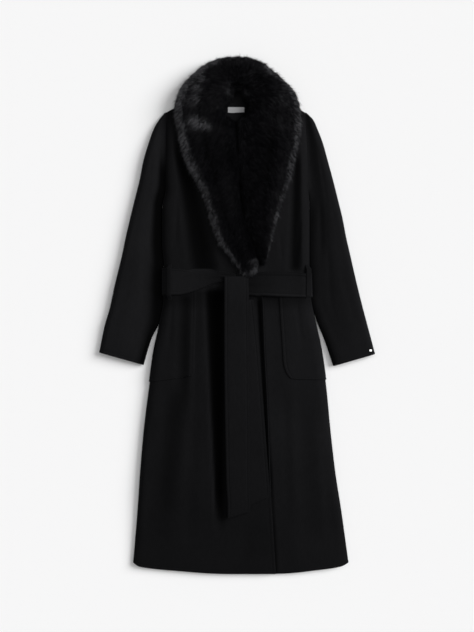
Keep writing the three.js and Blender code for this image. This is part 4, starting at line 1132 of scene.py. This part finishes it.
def make_stage():
    half, level = 12.0, -0.0004
    corners = [[-half, -half, level], [half, -half, level], [half, half, level], [-half, half, level]]
    floor = make_object("floor", np.array(corners), [[0, 1, 2, 3]])
    floor.data.materials.append(PALE_FLOOR)


def aim(item, target):
    direction = Vector(target) - item.location
    item.rotation_euler = direction.to_track_quat("-Z", "Y").to_euler()


def make_lights():
    """A wide soft light from the upper right, a softer one from above and a faint white sky."""
    world = bpy.data.worlds.new("studio")
    bpy.context.scene.world = world
    world.use_nodes = True
    set_inputs(world.node_tree.nodes["Background"], {"Color": (1, 1, 1, 1), "Strength": SKY_STRENGTH})
    for name, (place, spread, strength) in SUNS.items():
        light = bpy.data.lights.new(name, "SUN")
        light.angle = math.radians(spread)
        light.energy = strength
        lamp = add_object(name, light)
        lamp.location = place
        aim(lamp, (0, 0, 0))


def make_camera():
    camera = bpy.data.cameras.new("camera")
    camera.sensor_width = SENSOR
    camera.lens = SENSOR * (CAMERA_HEIGHT - OUTLINE_LEVEL) / FRAME_HEIGHT
    item = add_object("camera", camera)
    item.location = (FRAME_CENTRE_X * MM, FRAME_CENTRE_Y * MM, CAMERA_HEIGHT * MM)
    bpy.context.scene.camera = item


make_camera()
make_lights()
make_stage()
bpy.context.scene.view_settings.view_transform = "Standard"

make_back()
make_front("front_right", -1)
make_front("front_left", 1)
for side, word, table in ((-1, "right", SLEEVE_RIGHT), (1, "left", SLEEVE_LEFT)):
    make_sleeve(f"sleeve_{word}_top", side, table, False)
    make_sleeve(f"sleeve_{word}_under", side, table, True)
make_pocket("pocket_right", -1, POCKET_RIGHT)
make_pocket("pocket_left", 1, POCKET_LEFT)
make_belt("belt_right", -1, BELT_RIGHT)
make_belt("belt_left", 1, BELT_LEFT)
make_belt_back()
make_belt_loop("belt_loop_right", -1, BELT_LOOP_RIGHT_X)
make_belt_loop("belt_loop_left", 1, BELT_LOOP_LEFT_X)
make_tail("belt_tail_front", TAIL_FRONT, TAIL_FRONT_END, 1.2)
make_tail("belt_tail_under", TAIL_UNDER, TAIL_UNDER_END, 1.0)

collar_shell("collar_right_base", "collar_right", -1, COLLAR_RIGHT, FUR_INSET)
collar_shell("collar_left_base", "collar_left", 1, COLLAR_LEFT, FUR_INSET)
collar_fall("collar_right_fall", -1)
collar_fall("collar_left_fall", 1)
random = np.random.default_rng(RANDOM_SEED)
fur_strands("fur_right_upper", -1, COLLAR_RIGHT, (0.0, 0.48), random)
fur_strands("fur_right_lower", -1, COLLAR_RIGHT, (0.48, 0.99), random)
fur_strands("fur_left_upper", 1, COLLAR_LEFT, (0.0, 0.5), random)
fur_strands("fur_left_lower", 1, COLLAR_LEFT, (0.5, 0.99), random)
dress_trim("neck_label", LABEL_SATIN)
dress_trim("cuff_tag", TAG_METAL)
